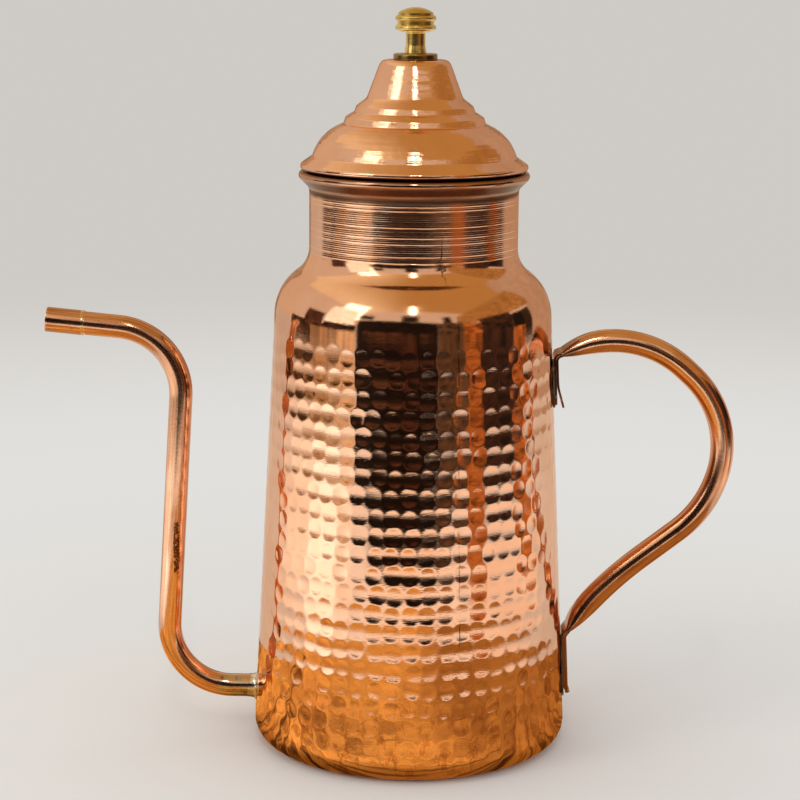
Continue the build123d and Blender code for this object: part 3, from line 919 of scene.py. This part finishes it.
# %% Making nodes
class Nodes:
    """A tree of shader nodes."""

    def __init__(self, tree):
        self.tree = tree

    def put(self, value, socket):
        """Link a signal to a socket, or set a value on it. Colours come without their alpha."""
        if isinstance(value, Signal):
            self.tree.links.new(value.socket, socket)
        else:
            socket.default_value = (*value, 1) if socket.type == "RGBA" else value

    def node(self, kind, inputs, output=0, **settings):
        """A node with its settings, then its values and links, as one signal."""
        made = self.tree.nodes.new("ShaderNode" + kind)
        for key, value in settings.items():
            setattr(made, key, value)
        for key, value in inputs.items():
            self.put(value, made.inputs[key])
        return Signal(self, made.outputs[output])

    def place(self):
        """The position on the object in millimetres."""
        inputs = {0: self.node("TexCoord", {}, "Object"), "Scale": 1 / MM}
        return self.node("VectorMath", inputs, operation="SCALE")

    def parts(self, spot):
        """The three parts of a position."""
        return [self.node("SeparateXYZ", {0: spot}, axis) for axis in "XYZ"]

    def away(self, spot):
        """How far a position is from the middle."""
        return self.node("VectorMath", {0: spot}, "Value", operation="LENGTH")

    def stretched(self, spot, scale, turn=0.0):
        """A position whose parts are scaled, so that a pattern on it runs one way."""
        return self.node("Mapping", {"Vector": spot, "Scale": scale, "Rotation": (0, 0, turn)})

    def noise(self, vector, scale, detail=2.0, roughness=0.5):
        """Soft noise from 0 to 1."""
        inputs = {"Vector": vector, "Scale": scale, "Detail": detail, "Roughness": roughness}
        return self.node("TexNoise", inputs)

    def layers(self, colour, *shares):
        """A colour with others laid over it, each by its share."""
        for share, over in shares:
            colour = self.node("Mix", {0: share, 6: colour, 7: over}, 2, data_type="RGBA")
        return colour


# %% Finishes and how they are put on
LINED_TOP = LIP_FROM + 3


class Finish(Nodes):
    """A material that is built up from nodes."""

    def __init__(self, name, **values):
        self.material = bpy.data.materials.new(name)
        self.material.use_nodes = True
        super().__init__(self.material.node_tree)
        self.shader = self.tree.nodes["Principled BSDF"]
        self.set(**values)

    def set(self, **values):
        """Put values or signals into inputs of the shader."""
        for key, value in values.items():
            self.put(value, self.shader.inputs[key.replace("_", " ")])

    def bump(self, height, strength):
        """Tip the normal by a height signal."""
        inputs = {"Height": height, "Strength": strength, "Distance": 0.0002}
        self.set(Normal=self.node("Bump", inputs))

    def wear(self, *pieces):
        """Put the finish on pieces."""
        for piece in pieces:
            piece.data.materials.clear()
            piece.data.materials.append(self.material)
        print(self.material.name, "on", *[piece.name for piece in pieces])

    def line(self, *pieces):
        """Put the finish on the faces of round pieces that look inwards, below the rim."""
        for piece in pieces:
            piece.data.materials.append(self.material)
            for face in piece.data.polygons:
                outward = Vector((face.center.x, face.center.y, -face.center.z * 0.05))
                if face.normal.dot(outward) < -0.0001 and face.center.z < LINED_TOP * MM:
                    face.material_index = len(piece.data.materials) - 1
        print(self.material.name, "lines", *[piece.name for piece in pieces])


# %% Tarnish and polish
def polish(finish, spot, smooth, dull, scale=0.035):
    """Roughness that drifts between two values over a surface, with finer wiping marks in it."""
    clouds = finish.noise(spot, scale, 3.0, 0.6).between(0.35, 0.7)
    marks = finish.noise(spot, scale * 14, 2.0, 0.7).between(0.45, 0.75)
    finish.set(Roughness=clouds * (dull - smooth) + marks * 0.02 + smooth)
    return clouds


# %% [markdown]
# ## Hammered copper
# The can's copper is polished bright, and colours are laid over it in places. The crease under the rim
# is browned: partly oxide, partly painted shade and reflection under the bead. The top of the rolled
# edge is painted dark, a painted shadow of the gap under the lid. A seam with a small notch wanders up
# one side, and red strokes low on the wall are a painted reflection of streaky wood. Each mark is a
# mask by height or place, broken up by noise, that lays another colour over the copper. Grooves and
# blows are in the mesh, so the bump has only a fine grain to add.

# %% Colours of copper and marks on the can
COPPER = (0.94, 0.58, 0.40)
TARNISHED = (0.80, 0.42, 0.25)
# The next colour is brown stains and oxide, and in the crease under the rim also painted shade.
BROWN_AND_SHADE = (0.12, 0.047, 0.023)
# The next colour is burnt metal at the handle's tabs, and also painted shadow of the gap between lid
# and rim.
BURNT_AND_SHADE = (0.16, 0.075, 0.045)
# The next colour is a painted reflection of the dark streaks of wood, low on the wall.
REFLECTED_WOOD_RED = (0.46, 0.18, 0.085)
EDGE_TINT = (0.95, 0.78, 0.65)
SCORED = (SCORE_LOW - 1, SCORE_LOW + 1), (SCORE_HIGH, SCORE_HIGH + 2)
PLANISHED = (178, 188)
CREASE_FOOT, CREASE_TOP = (225.6, 227.6), (231.8, 233.2)
CREASE_LINE = (228.3, 228.8), (229.3, 229.9)
# Heights of the painted shadow of the gap under the lid, on top of the rolled edge.
RIM_GAP_SHADE = (234.5, 235.1)
# Heights where the painted reflection of streaky wood fades out.
REFLECTED_STREAKS_TOP = (16, 48)
SEAM_TURN = math.radians(18.4)
SEAM_LENGTH = (50, 60), (208, 216)
SEAM_SHIFT = (190, 200)
NOTCH = (196, 199), (204, 207)
print("the seam is", round(math.degrees(SEAM_TURN), 1), "degrees round from the front")


# %% Hammered copper
def seam_on(finish, spot):
    """Shares of the thin seam line in front and of its notch."""
    x, y, z = finish.parts(spot)
    notch = z.band(*NOTCH)
    side = x * math.cos(SEAM_TURN) + y * math.sin(SEAM_TURN)
    side = side + (finish.noise(spot, 0.12, 2.0) - 0.5) * 1.2 + z.between(*SEAM_SHIFT) * 2.4
    side = side + notch * (finish.noise(spot, 0.45, 2.0) - 0.5) * 9
    line = 1 - (abs(side) - notch * 0.3).between(0.12, 0.42)
    return line * (1 - y.between(-20, -10)) * z.band(*SEAM_LENGTH), notch


def hammered_copper():
    """Polished copper of the can with its seam; the crease under the rim is browned, partly oxide,
    partly painted shade.
    """
    finish = Finish("hammered_copper", Metallic=1.0, Specular_Tint=EDGE_TINT, Specular_IOR_Level=0.15)
    spot = finish.place()
    z = finish.parts(spot)[2]
    clouds = finish.noise(spot, 0.035, 3.0, 0.6).between(0.35, 0.7)
    uneven_z = z + (finish.noise(spot, 0.05, 3.0) - 0.5) * 3
    # The crease under the rim is browned: partly oxide, partly painted shade and reflection under the
    # bead.
    crease = uneven_z.between(*CREASE_FOOT) * (1 - z.between(*CREASE_TOP))
    creased = crease * (0.97 - z.band(*CREASE_LINE) * 0.35) + z.between(*CREASE_TOP) * 0.5
    scored_share = z.band(*SCORED)
    worked = z.between(*PLANISHED) * 0.065 + scored_share * 0.055 + crease * 0.14
    finish.set(Roughness=clouds * 0.025 + 0.028 + worked, Metallic=1 - crease * 0.2)
    seam, notch = seam_on(finish, spot)
    worn = finish.noise(spot, 0.09, 3.0, 0.6).between(0.42, 0.62)
    # Red strokes low on the wall: a painted reflection of the streaky wood under the foot.
    reflected_streaks = finish.noise(finish.stretched(spot, (1, 1, 0.45)), 0.30, 4.0, 0.65).between(0.53, 0.60)
    colour = finish.layers(
        COPPER,
        (clouds * 0.45, TARNISHED),
        (reflected_streaks * (1 - z.between(*REFLECTED_STREAKS_TOP)) * 0.45, REFLECTED_WOOD_RED),
        (creased, BROWN_AND_SHADE),
        (seam * (worn + notch * 0.4) * 0.7, BROWN_AND_SHADE),
        # Painted shadow of the gap under the lid, on top of the rolled edge.
        (z.between(*RIM_GAP_SHADE) * 0.95, BURNT_AND_SHADE),
    )
    grain = finish.noise(finish.stretched(spot, (1, 1, 5)), 0.5, 3.0, 0.6)
    scores = finish.noise(finish.stretched(spot, (0.02, 0.02, 3)), 0.9, 4.0, 0.75)
    finish.set(Base_Color=colour)
    finish.bump(grain + scored_share * scores * 0.7, 0.08)
    return finish


can = (low_wall, high_wall, can_neck, can_bottom)
hammered_copper().wear(*can)

# %% [markdown]
# ## Spun copper
# The lid is polished on the lathe, so its fine marks run round it: noise squeezed along the height
# gives rings. A slower noise keeps the reflections from being perfect. The lid's rolled edge is painted
# dark at its foot, a painted shadow of the gap over the rim, and the collar below gets the same dark.

# %% Spun copper
# Top of the painted shadow at the foot of the lid's rolled edge.
ROLL_SHADE_TOP = (lid_bead.y - LID_BEAD_R + 0.8, lid_bead.y - LID_BEAD_R + 1.3)
LID_ONLY = (200, 210)


def spun_copper():
    """Copper polished on the lathe, with fine turning marks round it."""
    finish = Finish("spun_copper", Metallic=1.0, Specular_Tint=EDGE_TINT)
    spot = finish.place()
    z = finish.parts(spot)[2]
    clouds = polish(finish, spot, 0.07, 0.13)
    # Painted shadow at the foot of the rolled edge; the collar below gets the same dark.
    shade_under_roll = z.band(LID_ONLY, ROLL_SHADE_TOP)
    colour = finish.layers(COPPER, (clouds * 0.5, TARNISHED), (shade_under_roll * 0.9, BURNT_AND_SHADE))
    rings = finish.noise(finish.stretched(spot, (0.06, 0.06, 3)), 0.9, 3.0, 0.65)
    finish.set(Base_Color=colour)
    finish.bump(rings + finish.noise(spot, 0.20, 2.0) * 4, 0.22)
    return finish


spun_copper().wear(lid, collar)

# %% [markdown]
# ## Drawn tube
# Tube is pulled through a die, which leaves faint lines along it. Dark stripes along the sleeve are
# painted reflections, a pale ring is laid round the end of the sleeve and dark specks lie in a strip
# down the front of the riser. Heat and handling add the rest: tin that has run out from the solder and
# a burnt patch where the handle's ends were soldered.

# %% Places and colours of the marks on the tubes
DRAWN = (0.42, 0.17, 0.075)
# Tone of the painted reflections along the sleeve.
REFLECTED_STRIPE_TONE = (0.42, 0.18, 0.09)
PALE_RING = (0.86, 0.70, 0.50)
TINNED = (0.60, 0.56, 0.50)
sleeve_end = tip.x + SLEEVE_LENGTH
REFLECTED_STRIPES_END = (sleeve_end - 2, sleeve_end + 16)
RING = (sleeve_end - 1.3, sleeve_end - 1.0), (sleeve_end + 0.3, sleeve_end + 0.6)
TINNED_X, TINNED_TOP = ((-82, -76), (-66, -65)), (27, 31)
SPECKS_X, SPECKS_Z = ((-98.6, -97.2), (-95.4, -94.4)), ((66, 70), (86, 103))
TABS_X = (54, 56), (62, 72)
print("the sleeve ends at x", round(sleeve_end, 1))


# %% Drawn tube
def copper_tube():
    """Drawn copper tube with darker patches of oxide."""
    finish = Finish("copper_tube", Metallic=1.0, Specular_Tint=EDGE_TINT)
    spot = finish.place()
    x, y, z = finish.parts(spot)
    clouds = polish(finish, spot, 0.12, 0.19, 0.06)
    drawn = finish.noise(finish.stretched(spot, (0.015, 1, 0.015)), 1.1, 4.0, 0.7)
    patches = finish.noise(spot, 0.16, 4.0, 0.7).between(0.62, 0.74)
    patches = patches * finish.noise(spot, 0.03).between(0.45, 0.6)
    along_tip = {0: x * 0.015, 1: y * 0.3, 2: z - x * (inward.y / inward.x)}
    # Dark stripes along the sleeve: painted reflections.
    reflected_stripes = finish.noise(finish.node("CombineXYZ", along_tip), 0.9, 3.0, 0.6).between(0.46, 0.58)
    tinned = x.band(*TINNED_X) * (1 - z.between(*TINNED_TOP))
    flow = finish.noise(spot, 0.3, 3.0, 0.6)
    riser = z.band(*SPECKS_Z) * x.band(*SPECKS_X) * (1 - y.between(-3, -1))
    specks = (finish.noise(spot, 0.75, 4.0, 0.75) * riser).between(0.42, 0.47)
    colour = finish.layers(
        COPPER,
        (clouds * 0.5, TARNISHED),
        (drawn.between(0.42, 0.62) * 0.7, DRAWN),
        (reflected_stripes * (1 - x.between(*REFLECTED_STRIPES_END)) * 0.6, REFLECTED_STRIPE_TONE),
        (x.band(*RING) * 0.8, PALE_RING),
        (tinned * flow.between(0.36, 0.5) * 0.85, TINNED),
        (tinned * flow.between(0.56, 0.64) * 0.6, BROWN_AND_SHADE),
        (specks * 0.95, BROWN_AND_SHADE),
        (x.band(*TABS_X) * 0.75, BURNT_AND_SHADE),
        (patches * 0.5, BROWN_AND_SHADE),
    )
    finish.set(Base_Color=colour)
    finish.bump(finish.noise(spot, 0.8, 3.0, 0.6) * 0.4 + drawn, 0.16)
    return finish


copper_tube().wear(spout, sleeve, handle, *leaves)

# %% [markdown]
# ## Brass and solder
# The knob is turned brass, a little duller than the copper, on a washer painted dark brown: a painted
# dark reflection. Soft solder is a dull silver metal with dark stains where the flux has burnt.

# %% Brass of the knob
# The third brass colour is a painted dark reflection on the washer.
YELLOW_BRASS, DULL_BRASS, DARK_REFLECTED_BRASS = (0.88, 0.68, 0.24), (0.66, 0.48, 0.13), (0.20, 0.13, 0.06)


def knob_brass():
    """Turned brass, a little duller than the copper."""
    finish = Finish("knob_brass", Metallic=1.0)
    spot = finish.place()
    clouds = polish(finish, spot, 0.24, 0.32, 0.12)
    # The washer is painted dark: a painted reflection.
    on_washer = 1 - finish.parts(spot)[2].between(WASHER_TOP - 0.1, WASHER_TOP + 0.2)
    colour = finish.layers(YELLOW_BRASS, (clouds, DULL_BRASS), (on_washer * 0.8, DARK_REFLECTED_BRASS))
    finish.set(Base_Color=colour)
    finish.bump(finish.noise(finish.stretched(spot, (0.1, 0.1, 4)), 0.9, 2.0, 0.6), 0.12)
    return finish


knob_brass().wear(knob, washer)

# %% Solder of the spout
SILVERY, FLUX_STAIN = (0.80, 0.76, 0.70), (0.24, 0.17, 0.12)


def soft_solder():
    """Dull silver solder with darker flux marks."""
    finish = Finish("solder", Metallic=1.0)
    spot = finish.place()
    polish(finish, spot, 0.17, 0.30, 0.2)
    flux = finish.noise(spot, 0.35, 3.0, 0.6).between(0.5, 0.7)
    finish.set(Base_Color=finish.layers(SILVERY, (flux * 0.6, FLUX_STAIN)))
    finish.bump(finish.noise(spot, 0.5, 3.0, 0.6), 0.4)
    return finish


soft_solder().wear(solder)

# %% [markdown]
# ## Tin, steel and burnt solder
# Three quieter metals need only two tones that drift into each other. Tin lines the can, wiped on by
# hand. The wires, the screw and its washer are steel. The solder under the handle's ends has been
# browned by the torch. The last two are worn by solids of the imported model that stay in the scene.


# %% Wiped metals
def wiped(name, light, dark, smooth, dull, scale, metallic=1.0, grain=0.0, depth=0.0):
    """A dull metal that drifts between two tones and two roughnesses, with a grain if it has one."""
    finish = Finish(name, Metallic=metallic)
    spot = finish.place()
    clouds = polish(finish, spot, smooth, dull, scale)
    finish.set(Base_Color=finish.layers(light, (clouds, dark)))
    if depth:
        finish.bump(finish.noise(spot, grain, 3.0, 0.6), depth)
    return finish


tin = wiped("tin", (0.70, 0.69, 0.67), (0.50, 0.47, 0.43), 0.22, 0.36, 0.05, 1.0, 0.3, 0.25)
steel = wiped("steel", (0.55, 0.54, 0.52), (0.40, 0.39, 0.37), 0.22, 0.34, 0.15)
browned = (0.16, 0.11, 0.08), (0.07, 0.045, 0.03)
burnt_solder = wiped("burnt_solder", *browned, 0.35, 0.5, 0.2, 0.6, 0.6, 0.4)
nodes = frame["nodes"]
tin.line(*can)
burnt_solder.wear(nodes["upper_handle_solder"], nodes["lower_handle_solder"])
steel.wear(*[nodes[name] for name in ("rim_wire", "lid_rim_wire", "knob_screw", "knob_inner_washer")])

# %% [markdown]
# ## Things for the metal to mirror
# Polished metal shows what stands round it and little of its own colour. So the pourer stands among
# glowing cards that only mirroring metal sees: dark and brown ones in front, a bright window on the
# left, warm ones on the right. Each is set by its azimuths, counted from the front towards the handle.


# %% Glowing finishes
def glow(name, colour, spread=0.0, strength=1.0):
    """A finish that gives out light, in clouds if it has a spread, as no real room is one colour."""
    finish = Finish(name, Base_Color=(0, 0, 0), Roughness=1.0, Emission_Strength=strength)
    if spread:
        clouds = finish.noise(finish.place(), 0.014, 4.0, 0.65).between(0.36, 0.64)
        dark, bright = ([value * (1 + change) for value in colour] for change in (-spread, spread))
        colour = finish.layers(dark, (clouds, bright))
    finish.set(Emission_Color=colour)
    return finish


def mirror_only(piece, finish):
    """Let a glowing piece be seen in mirroring metal and nowhere else."""
    finish.wear(piece)
    piece.visible_camera = piece.visible_diffuse = piece.visible_shadow = False
    piece.visible_transmission = piece.visible_volume_scatter = False
    piece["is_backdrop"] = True


# %% Making a card
def card(name, azimuths, low, high, colour, distance, spread=0.0):
    """An upright card between two azimuths and two heights, facing the pourer."""
    left, right = (math.radians(angle) for angle in azimuths)
    middle, half = (left + right) / 2, (right - left) / 2
    place = (math.sin(middle) * distance, -math.cos(middle) * distance, (low + high) / 2)
    bpy.ops.object.select_all(action="DESELECT")
    bpy.ops.mesh.primitive_plane_add(size=1, location=place, rotation=(math.pi / 2, 0, middle))
    piece = bpy.context.object
    piece.name = name
    piece.scale = (2 * distance * math.tan(half), high - low, 1)
    bpy.ops.object.transform_apply(location=True, rotation=True, scale=True)
    mirror_only(piece, glow(name, colour, spread))


# %% Upright cards
NEAR, FAR = 0.75, 0.9
BLACK = (0.006, 0.003, 0.002)
ORANGE = (0.42, 0.135, 0.028)
CARDS = (
    ("front_black", (-45, 20), 0.0, 0.47, BLACK, NEAR, 0.9),
    ("front_brown", (-40, 16), 0.124, 0.17, (0.080, 0.034, 0.017), NEAR - 0.015, 0.9),
    ("left_block", (-45, -33), 0.47, 0.58, BLACK, NEAR),
    ("front_block", (-9, 5), 0.47, 0.66, BLACK, NEAR),
    ("right_block", (25, 32), 0.42, 0.60, BLACK, NEAR),
    ("front_box", (-12, 3), 0.090, 0.155, (0.055, 0.020, 0.011), NEAR - 0.02, 0.8),
    ("left_low", (-116, -45), 0.0, 0.055, (0.66, 0.55, 0.43), FAR, 0.1),
    ("left_brown", (-116, -70), 0.055, 0.24, (0.07, 0.033, 0.015), FAR, 0.8),
    ("left_tan", (-70, -46), 0.055, 0.145, (0.66, 0.45, 0.26), FAR, 0.5),
    ("left_wood", (-92, -70), 0.055, 0.145, (0.40, 0.24, 0.12), FAR - 0.01, 0.4),
    ("left_dark", (-76, -46), 0.145, 0.31, (0.030, 0.013, 0.006), FAR - 0.01, 0.8),
    ("left_window", (-76, -48), 0.31, 0.80, (1.35, 1.27, 1.10), FAR, 0.15),
    ("left_frame", (-98, -78), 0.24, 0.50, (0.06, 0.022, 0.010), FAR, 0.6),
    ("right_dusk", (20, 41), 0.0, 0.42, (0.085, 0.045, 0.022), NEAR, 0.9),
    ("right_orange", (41, 56), 0.0, 0.36, ORANGE, NEAR, 0.85),
    ("right_dark", (56, 88), 0.0, 0.46, (0.035, 0.015, 0.008), NEAR, 0.9),
    ("far_orange", (88, 102), 0.0, 0.15, ORANGE, NEAR, 0.85),
    ("far_window", (88, 102), 0.15, 0.40, BLACK, NEAR),
    ("far_black", (102, 112), 0.08, 0.40, (0.03, 0.015, 0.008), NEAR),
    ("right_high", (38, 152), 0.50, 1.05, (0.41, 0.215, 0.062), FAR, 0.4),
    ("right_room", (113, 170), 0.0, 1.34, (0.50, 0.375, 0.28), FAR + 0.02, 0.1),
    ("back_tan", (160, 205), 0.03, 0.52, (0.40, 0.29, 0.20), FAR, 0.5),
)
for values in CARDS:
    card(*values)

# %% [markdown]
# ## Lamps
# Two weak lamps give the floor its soft shadow and the metal two crisp highlights: a broad one from
# the window's side and a narrow one high in front. The world does most of the lighting.


# %% Lamps
def lamp(name, place, target, size, power, colour):
    """A lamp turned towards a point, with a width and a height."""
    bpy.ops.object.light_add(type="AREA", location=place)
    light = bpy.context.object
    light.name = name
    light.data.shape = "RECTANGLE"
    light.data.size, light.data.size_y = size
    light.data.energy = power
    light.data.color = colour
    light.rotation_euler = (Vector(target) - Vector(place)).to_track_quat("-Z", "Y").to_euler()
    print(name, power, "W")


lamp("window_light", (-1.05, -0.72, 0.98), (0, 0, 0.2), (0.5, 0.7), 2.6, (1, 0.95, 0.86))
lamp("high_lamp", (0.0, -0.95, 1.10), (0, 0, 0.22), (0.055, 0.34), 0.9, (1, 0.96, 0.90))

# %% [markdown]
# ## The table and the ceiling in the reflections
# The lower half of the can mirrors the table: bright pools where light falls on it, and warm streaky
# wood under the foot, darker where the pourer shades it. Pools lie a hair apart in height, and their
# alpha fades at the ends. Two noises, stretched one way and turned, make the grain of the wood.


# %% Pools of light
def pool(name, azimuths, near, far, colour, soft, rise, height, steps=8):
    """A card on the floor between two azimuths and two distances, whose ends fade out."""
    left, right = (math.radians(angle - 90) for angle in azimuths)
    ring = [left + (right - left) * step / steps for step in range(steps + 1)]
    corners = [(math.cos(angle) * near, math.sin(angle) * near, height) for angle in ring]
    corners += [(math.cos(angle) * far, math.sin(angle) * far, height) for angle in reversed(ring)]
    finish = glow(name, colour)
    spot = finish.place()
    x, y, _ = finish.parts(spot)
    turn = finish.node("Math", {0: x, 1: 0 - y}, operation="ARCTAN2") * (180 / math.pi)
    first, last = azimuths
    ends = turn.band((first, first + soft), (last - soft, last))
    finish.set(Alpha=ends * finish.away(spot).between(near / MM, near / MM + rise))
    mirror_only(from_points(name, corners, [list(range(len(corners)))]), finish)


POOLS = (
    ("near_pool", (-40, 48), 0.27, 0.56, (1.08, 0.93, 0.78), 15, 60, 0.0010),
    ("right_pool", (36, 112), 0.27, 0.56, (1.02, 0.82, 0.65), 12, 60, 0.0009),
    ("left_pool", (-125, -20), 0.26, 0.89, (1.18, 1.06, 0.92), 32, 120, 0.0011),
    ("window_pool", (-86, -48), 0.25, 0.89, (1.60, 1.56, 1.44), 14, 120, 0.0012),
    ("front_pool", (-34, 34), 0.47, 0.80, BLACK, 12, 110, 0.0013),
    ("orange_pool", (40, 57), 0.40, 0.75, ORANGE, 3, 60, 0.0013),
    ("far_orange_pool", (87, 103), 0.36, 0.75, ORANGE, 3, 60, 0.0013),
)
for values in POOLS:
    pool(*values)

# %% Ceiling
YELLOW_LIGHT, BROWN_LIGHT = (0.88, 0.70, 0.45), (0.50, 0.29, 0.09)
bpy.ops.object.select_all(action="DESELECT")
bpy.ops.mesh.primitive_plane_add(size=2.6, location=(0, 0, 1.35))
ceiling = bpy.context.object
ceiling.name = "ceiling"
ceiling_finish = glow("ceiling", BLACK)
towards_right = ceiling_finish.parts(ceiling_finish.place())[0].between(-1000, 50)
ceiling_light = ceiling_finish.layers(YELLOW_LIGHT, (towards_right, BROWN_LIGHT))
ceiling_finish.set(Emission_Color=ceiling_light)
mirror_only(ceiling, ceiling_finish)

# %% Warm wood under the foot
GRAIN_TURN = 0.5
SHADED = (64, 92)
LIT_WOOD = (0.17, 0.054, 0.006), (1.27, 0.67, 0.15)
SHADED_WOOD = (0.035, 0.012, 0.002), (0.42, 0.18, 0.028)
RIGHT_WOOD = (0.18, 0.045, 0.003)
bpy.ops.mesh.primitive_circle_add(vertices=64, radius=1, fill_type="NGON", location=(0, -0.10, 0.0015))
warm_disc = bpy.context.object
warm_disc.name = "warm_disc"
warm_disc.scale = (0.25, 0.24, 1)
bpy.ops.object.transform_apply(location=True, scale=True)
wood = glow("warm_disc", BLACK, strength=0.9)
spot = wood.place()
broad = wood.noise(wood.stretched(spot, (0.2, 1, 1), GRAIN_TURN), 0.04, 3.0, 0.6).between(0.38, 0.62)
grain = wood.noise(wood.stretched(spot, (0.04, 1, 1), GRAIN_TURN), 0.30, 4.0, 0.6).between(0.44, 0.52)
streaks = broad * 0.35 + grain * 0.65
to_the_right = wood.parts(spot)[0].between(-20, 110) * 0.6
lit = wood.layers(LIT_WOOD[0], (streaks, LIT_WOOD[1]), (to_the_right, RIGHT_WOOD))
shaded = wood.layers(SHADED_WOOD[0], (streaks, SHADED_WOOD[1]))
wood.set(Emission_Color=wood.layers(shaded, (wood.away(spot).between(*SHADED), lit)))
mirror_only(warm_disc, wood)

# %% [markdown]
# ## Floor, backdrop and world
# One wide plane is both floor and backdrop. Near the pourer it is a plain pale floor that keeps the
# shadow, and further off it fades into plain light, so no horizon shows. The world lights the scene
# softly, and Light Path gives the camera the backdrop's tone and the metal a warmer room.

# %% Floor and backdrop
LOW_BACKDROP = (0.76, 0.745, 0.72)
HIGH_BACKDROP = (0.62, 0.595, 0.56)
FLOOR_FADE = (180, 500)
BACKDROP_FADE = (500, 1350)
bpy.ops.object.select_all(action="DESELECT")
bpy.ops.mesh.primitive_plane_add(size=8, location=(0, 0, 0))
floor = bpy.context.object
floor.name = "floor"
floor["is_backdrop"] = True
pale = Finish("floor", Base_Color=(0.86, 0.86, 0.85), Roughness=0.7, Specular_IOR_Level=0.1)
away = pale.away(pale.place())
backdrop = pale.layers(LOW_BACKDROP, (away.between(*BACKDROP_FADE), HIGH_BACKDROP))
plain_light = pale.node("Emission", {"Color": backdrop, "Strength": 1.0})
plain_floor = Signal(pale, pale.shader.outputs[0])
blend = pale.node("MixShader", {0: away.between(*FLOOR_FADE), 1: plain_floor, 2: plain_light})
pale.put(blend, pale.tree.nodes["Material Output"].inputs["Surface"])
pale.wear(floor)

# %% World
world = bpy.data.worlds.new("room")
bpy.context.scene.world = world
world.use_nodes = True
room = Nodes(world.node_tree)
plain_room = room.node("Background", {"Color": (0.80, 0.79, 0.77)})
mirrored_room = room.node("Background", {"Color": (0.70, 0.58, 0.46)})
seen_room = room.node("Background", {"Color": HIGH_BACKDROP})
glossy, direct = (room.node("LightPath", {}, ray) for ray in ("Is Glossy Ray", "Is Camera Ray"))
for_metal = room.node("MixShader", {0: glossy, 1: plain_room, 2: mirrored_room})
for_camera = room.node("MixShader", {0: direct, 1: for_metal, 2: seen_room})
room.put(for_camera, room.tree.nodes["World Output"].inputs["Surface"])
print(world.name, "has", len(room.tree.nodes), "nodes")

# %% [markdown]
# ## Camera
# The camera looks down on the pourer by eleven degrees and is rolled by half a degree. Its place and
# its lens were fitted to the round edges of the can, and a small shift centres the pourer in the frame.

# %% Camera
CAMERA_PLACE = (0, -0.8974, 0.3229)
CAMERA_PITCH = math.radians(11.40)
CAMERA_ROLL = math.radians(0.57)
camera_data = bpy.data.cameras.new("camera")
camera = bpy.data.objects.new("camera", camera_data)
bpy.context.scene.collection.objects.link(camera)
camera_data.lens = 100.95
camera_data.sensor_width = 36
camera_data.shift_x = -0.015075
camera_data.clip_start = 0.05
aim = Matrix.Rotation(math.pi / 2 - CAMERA_PITCH, 4, "X") @ Matrix.Rotation(CAMERA_ROLL, 4, "Z")
camera.matrix_world = Matrix.Translation(CAMERA_PLACE) @ aim
bpy.context.scene.camera = camera
bpy.context.scene.view_settings.view_transform = "Standard"
print("lens", round(camera_data.lens, 2))

# %% [markdown]
# ## The two boxes
# The box round the solids is printed after the import, and the box round what is now seen is printed
# here. They should agree to a fraction of a millimetre. They
# should agree to a fraction of a millimetre, as the new pieces may not outgrow the solids.

# %% Print the visual box
visual_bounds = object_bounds()
print("visual box", *map(in_mm, visual_bounds))
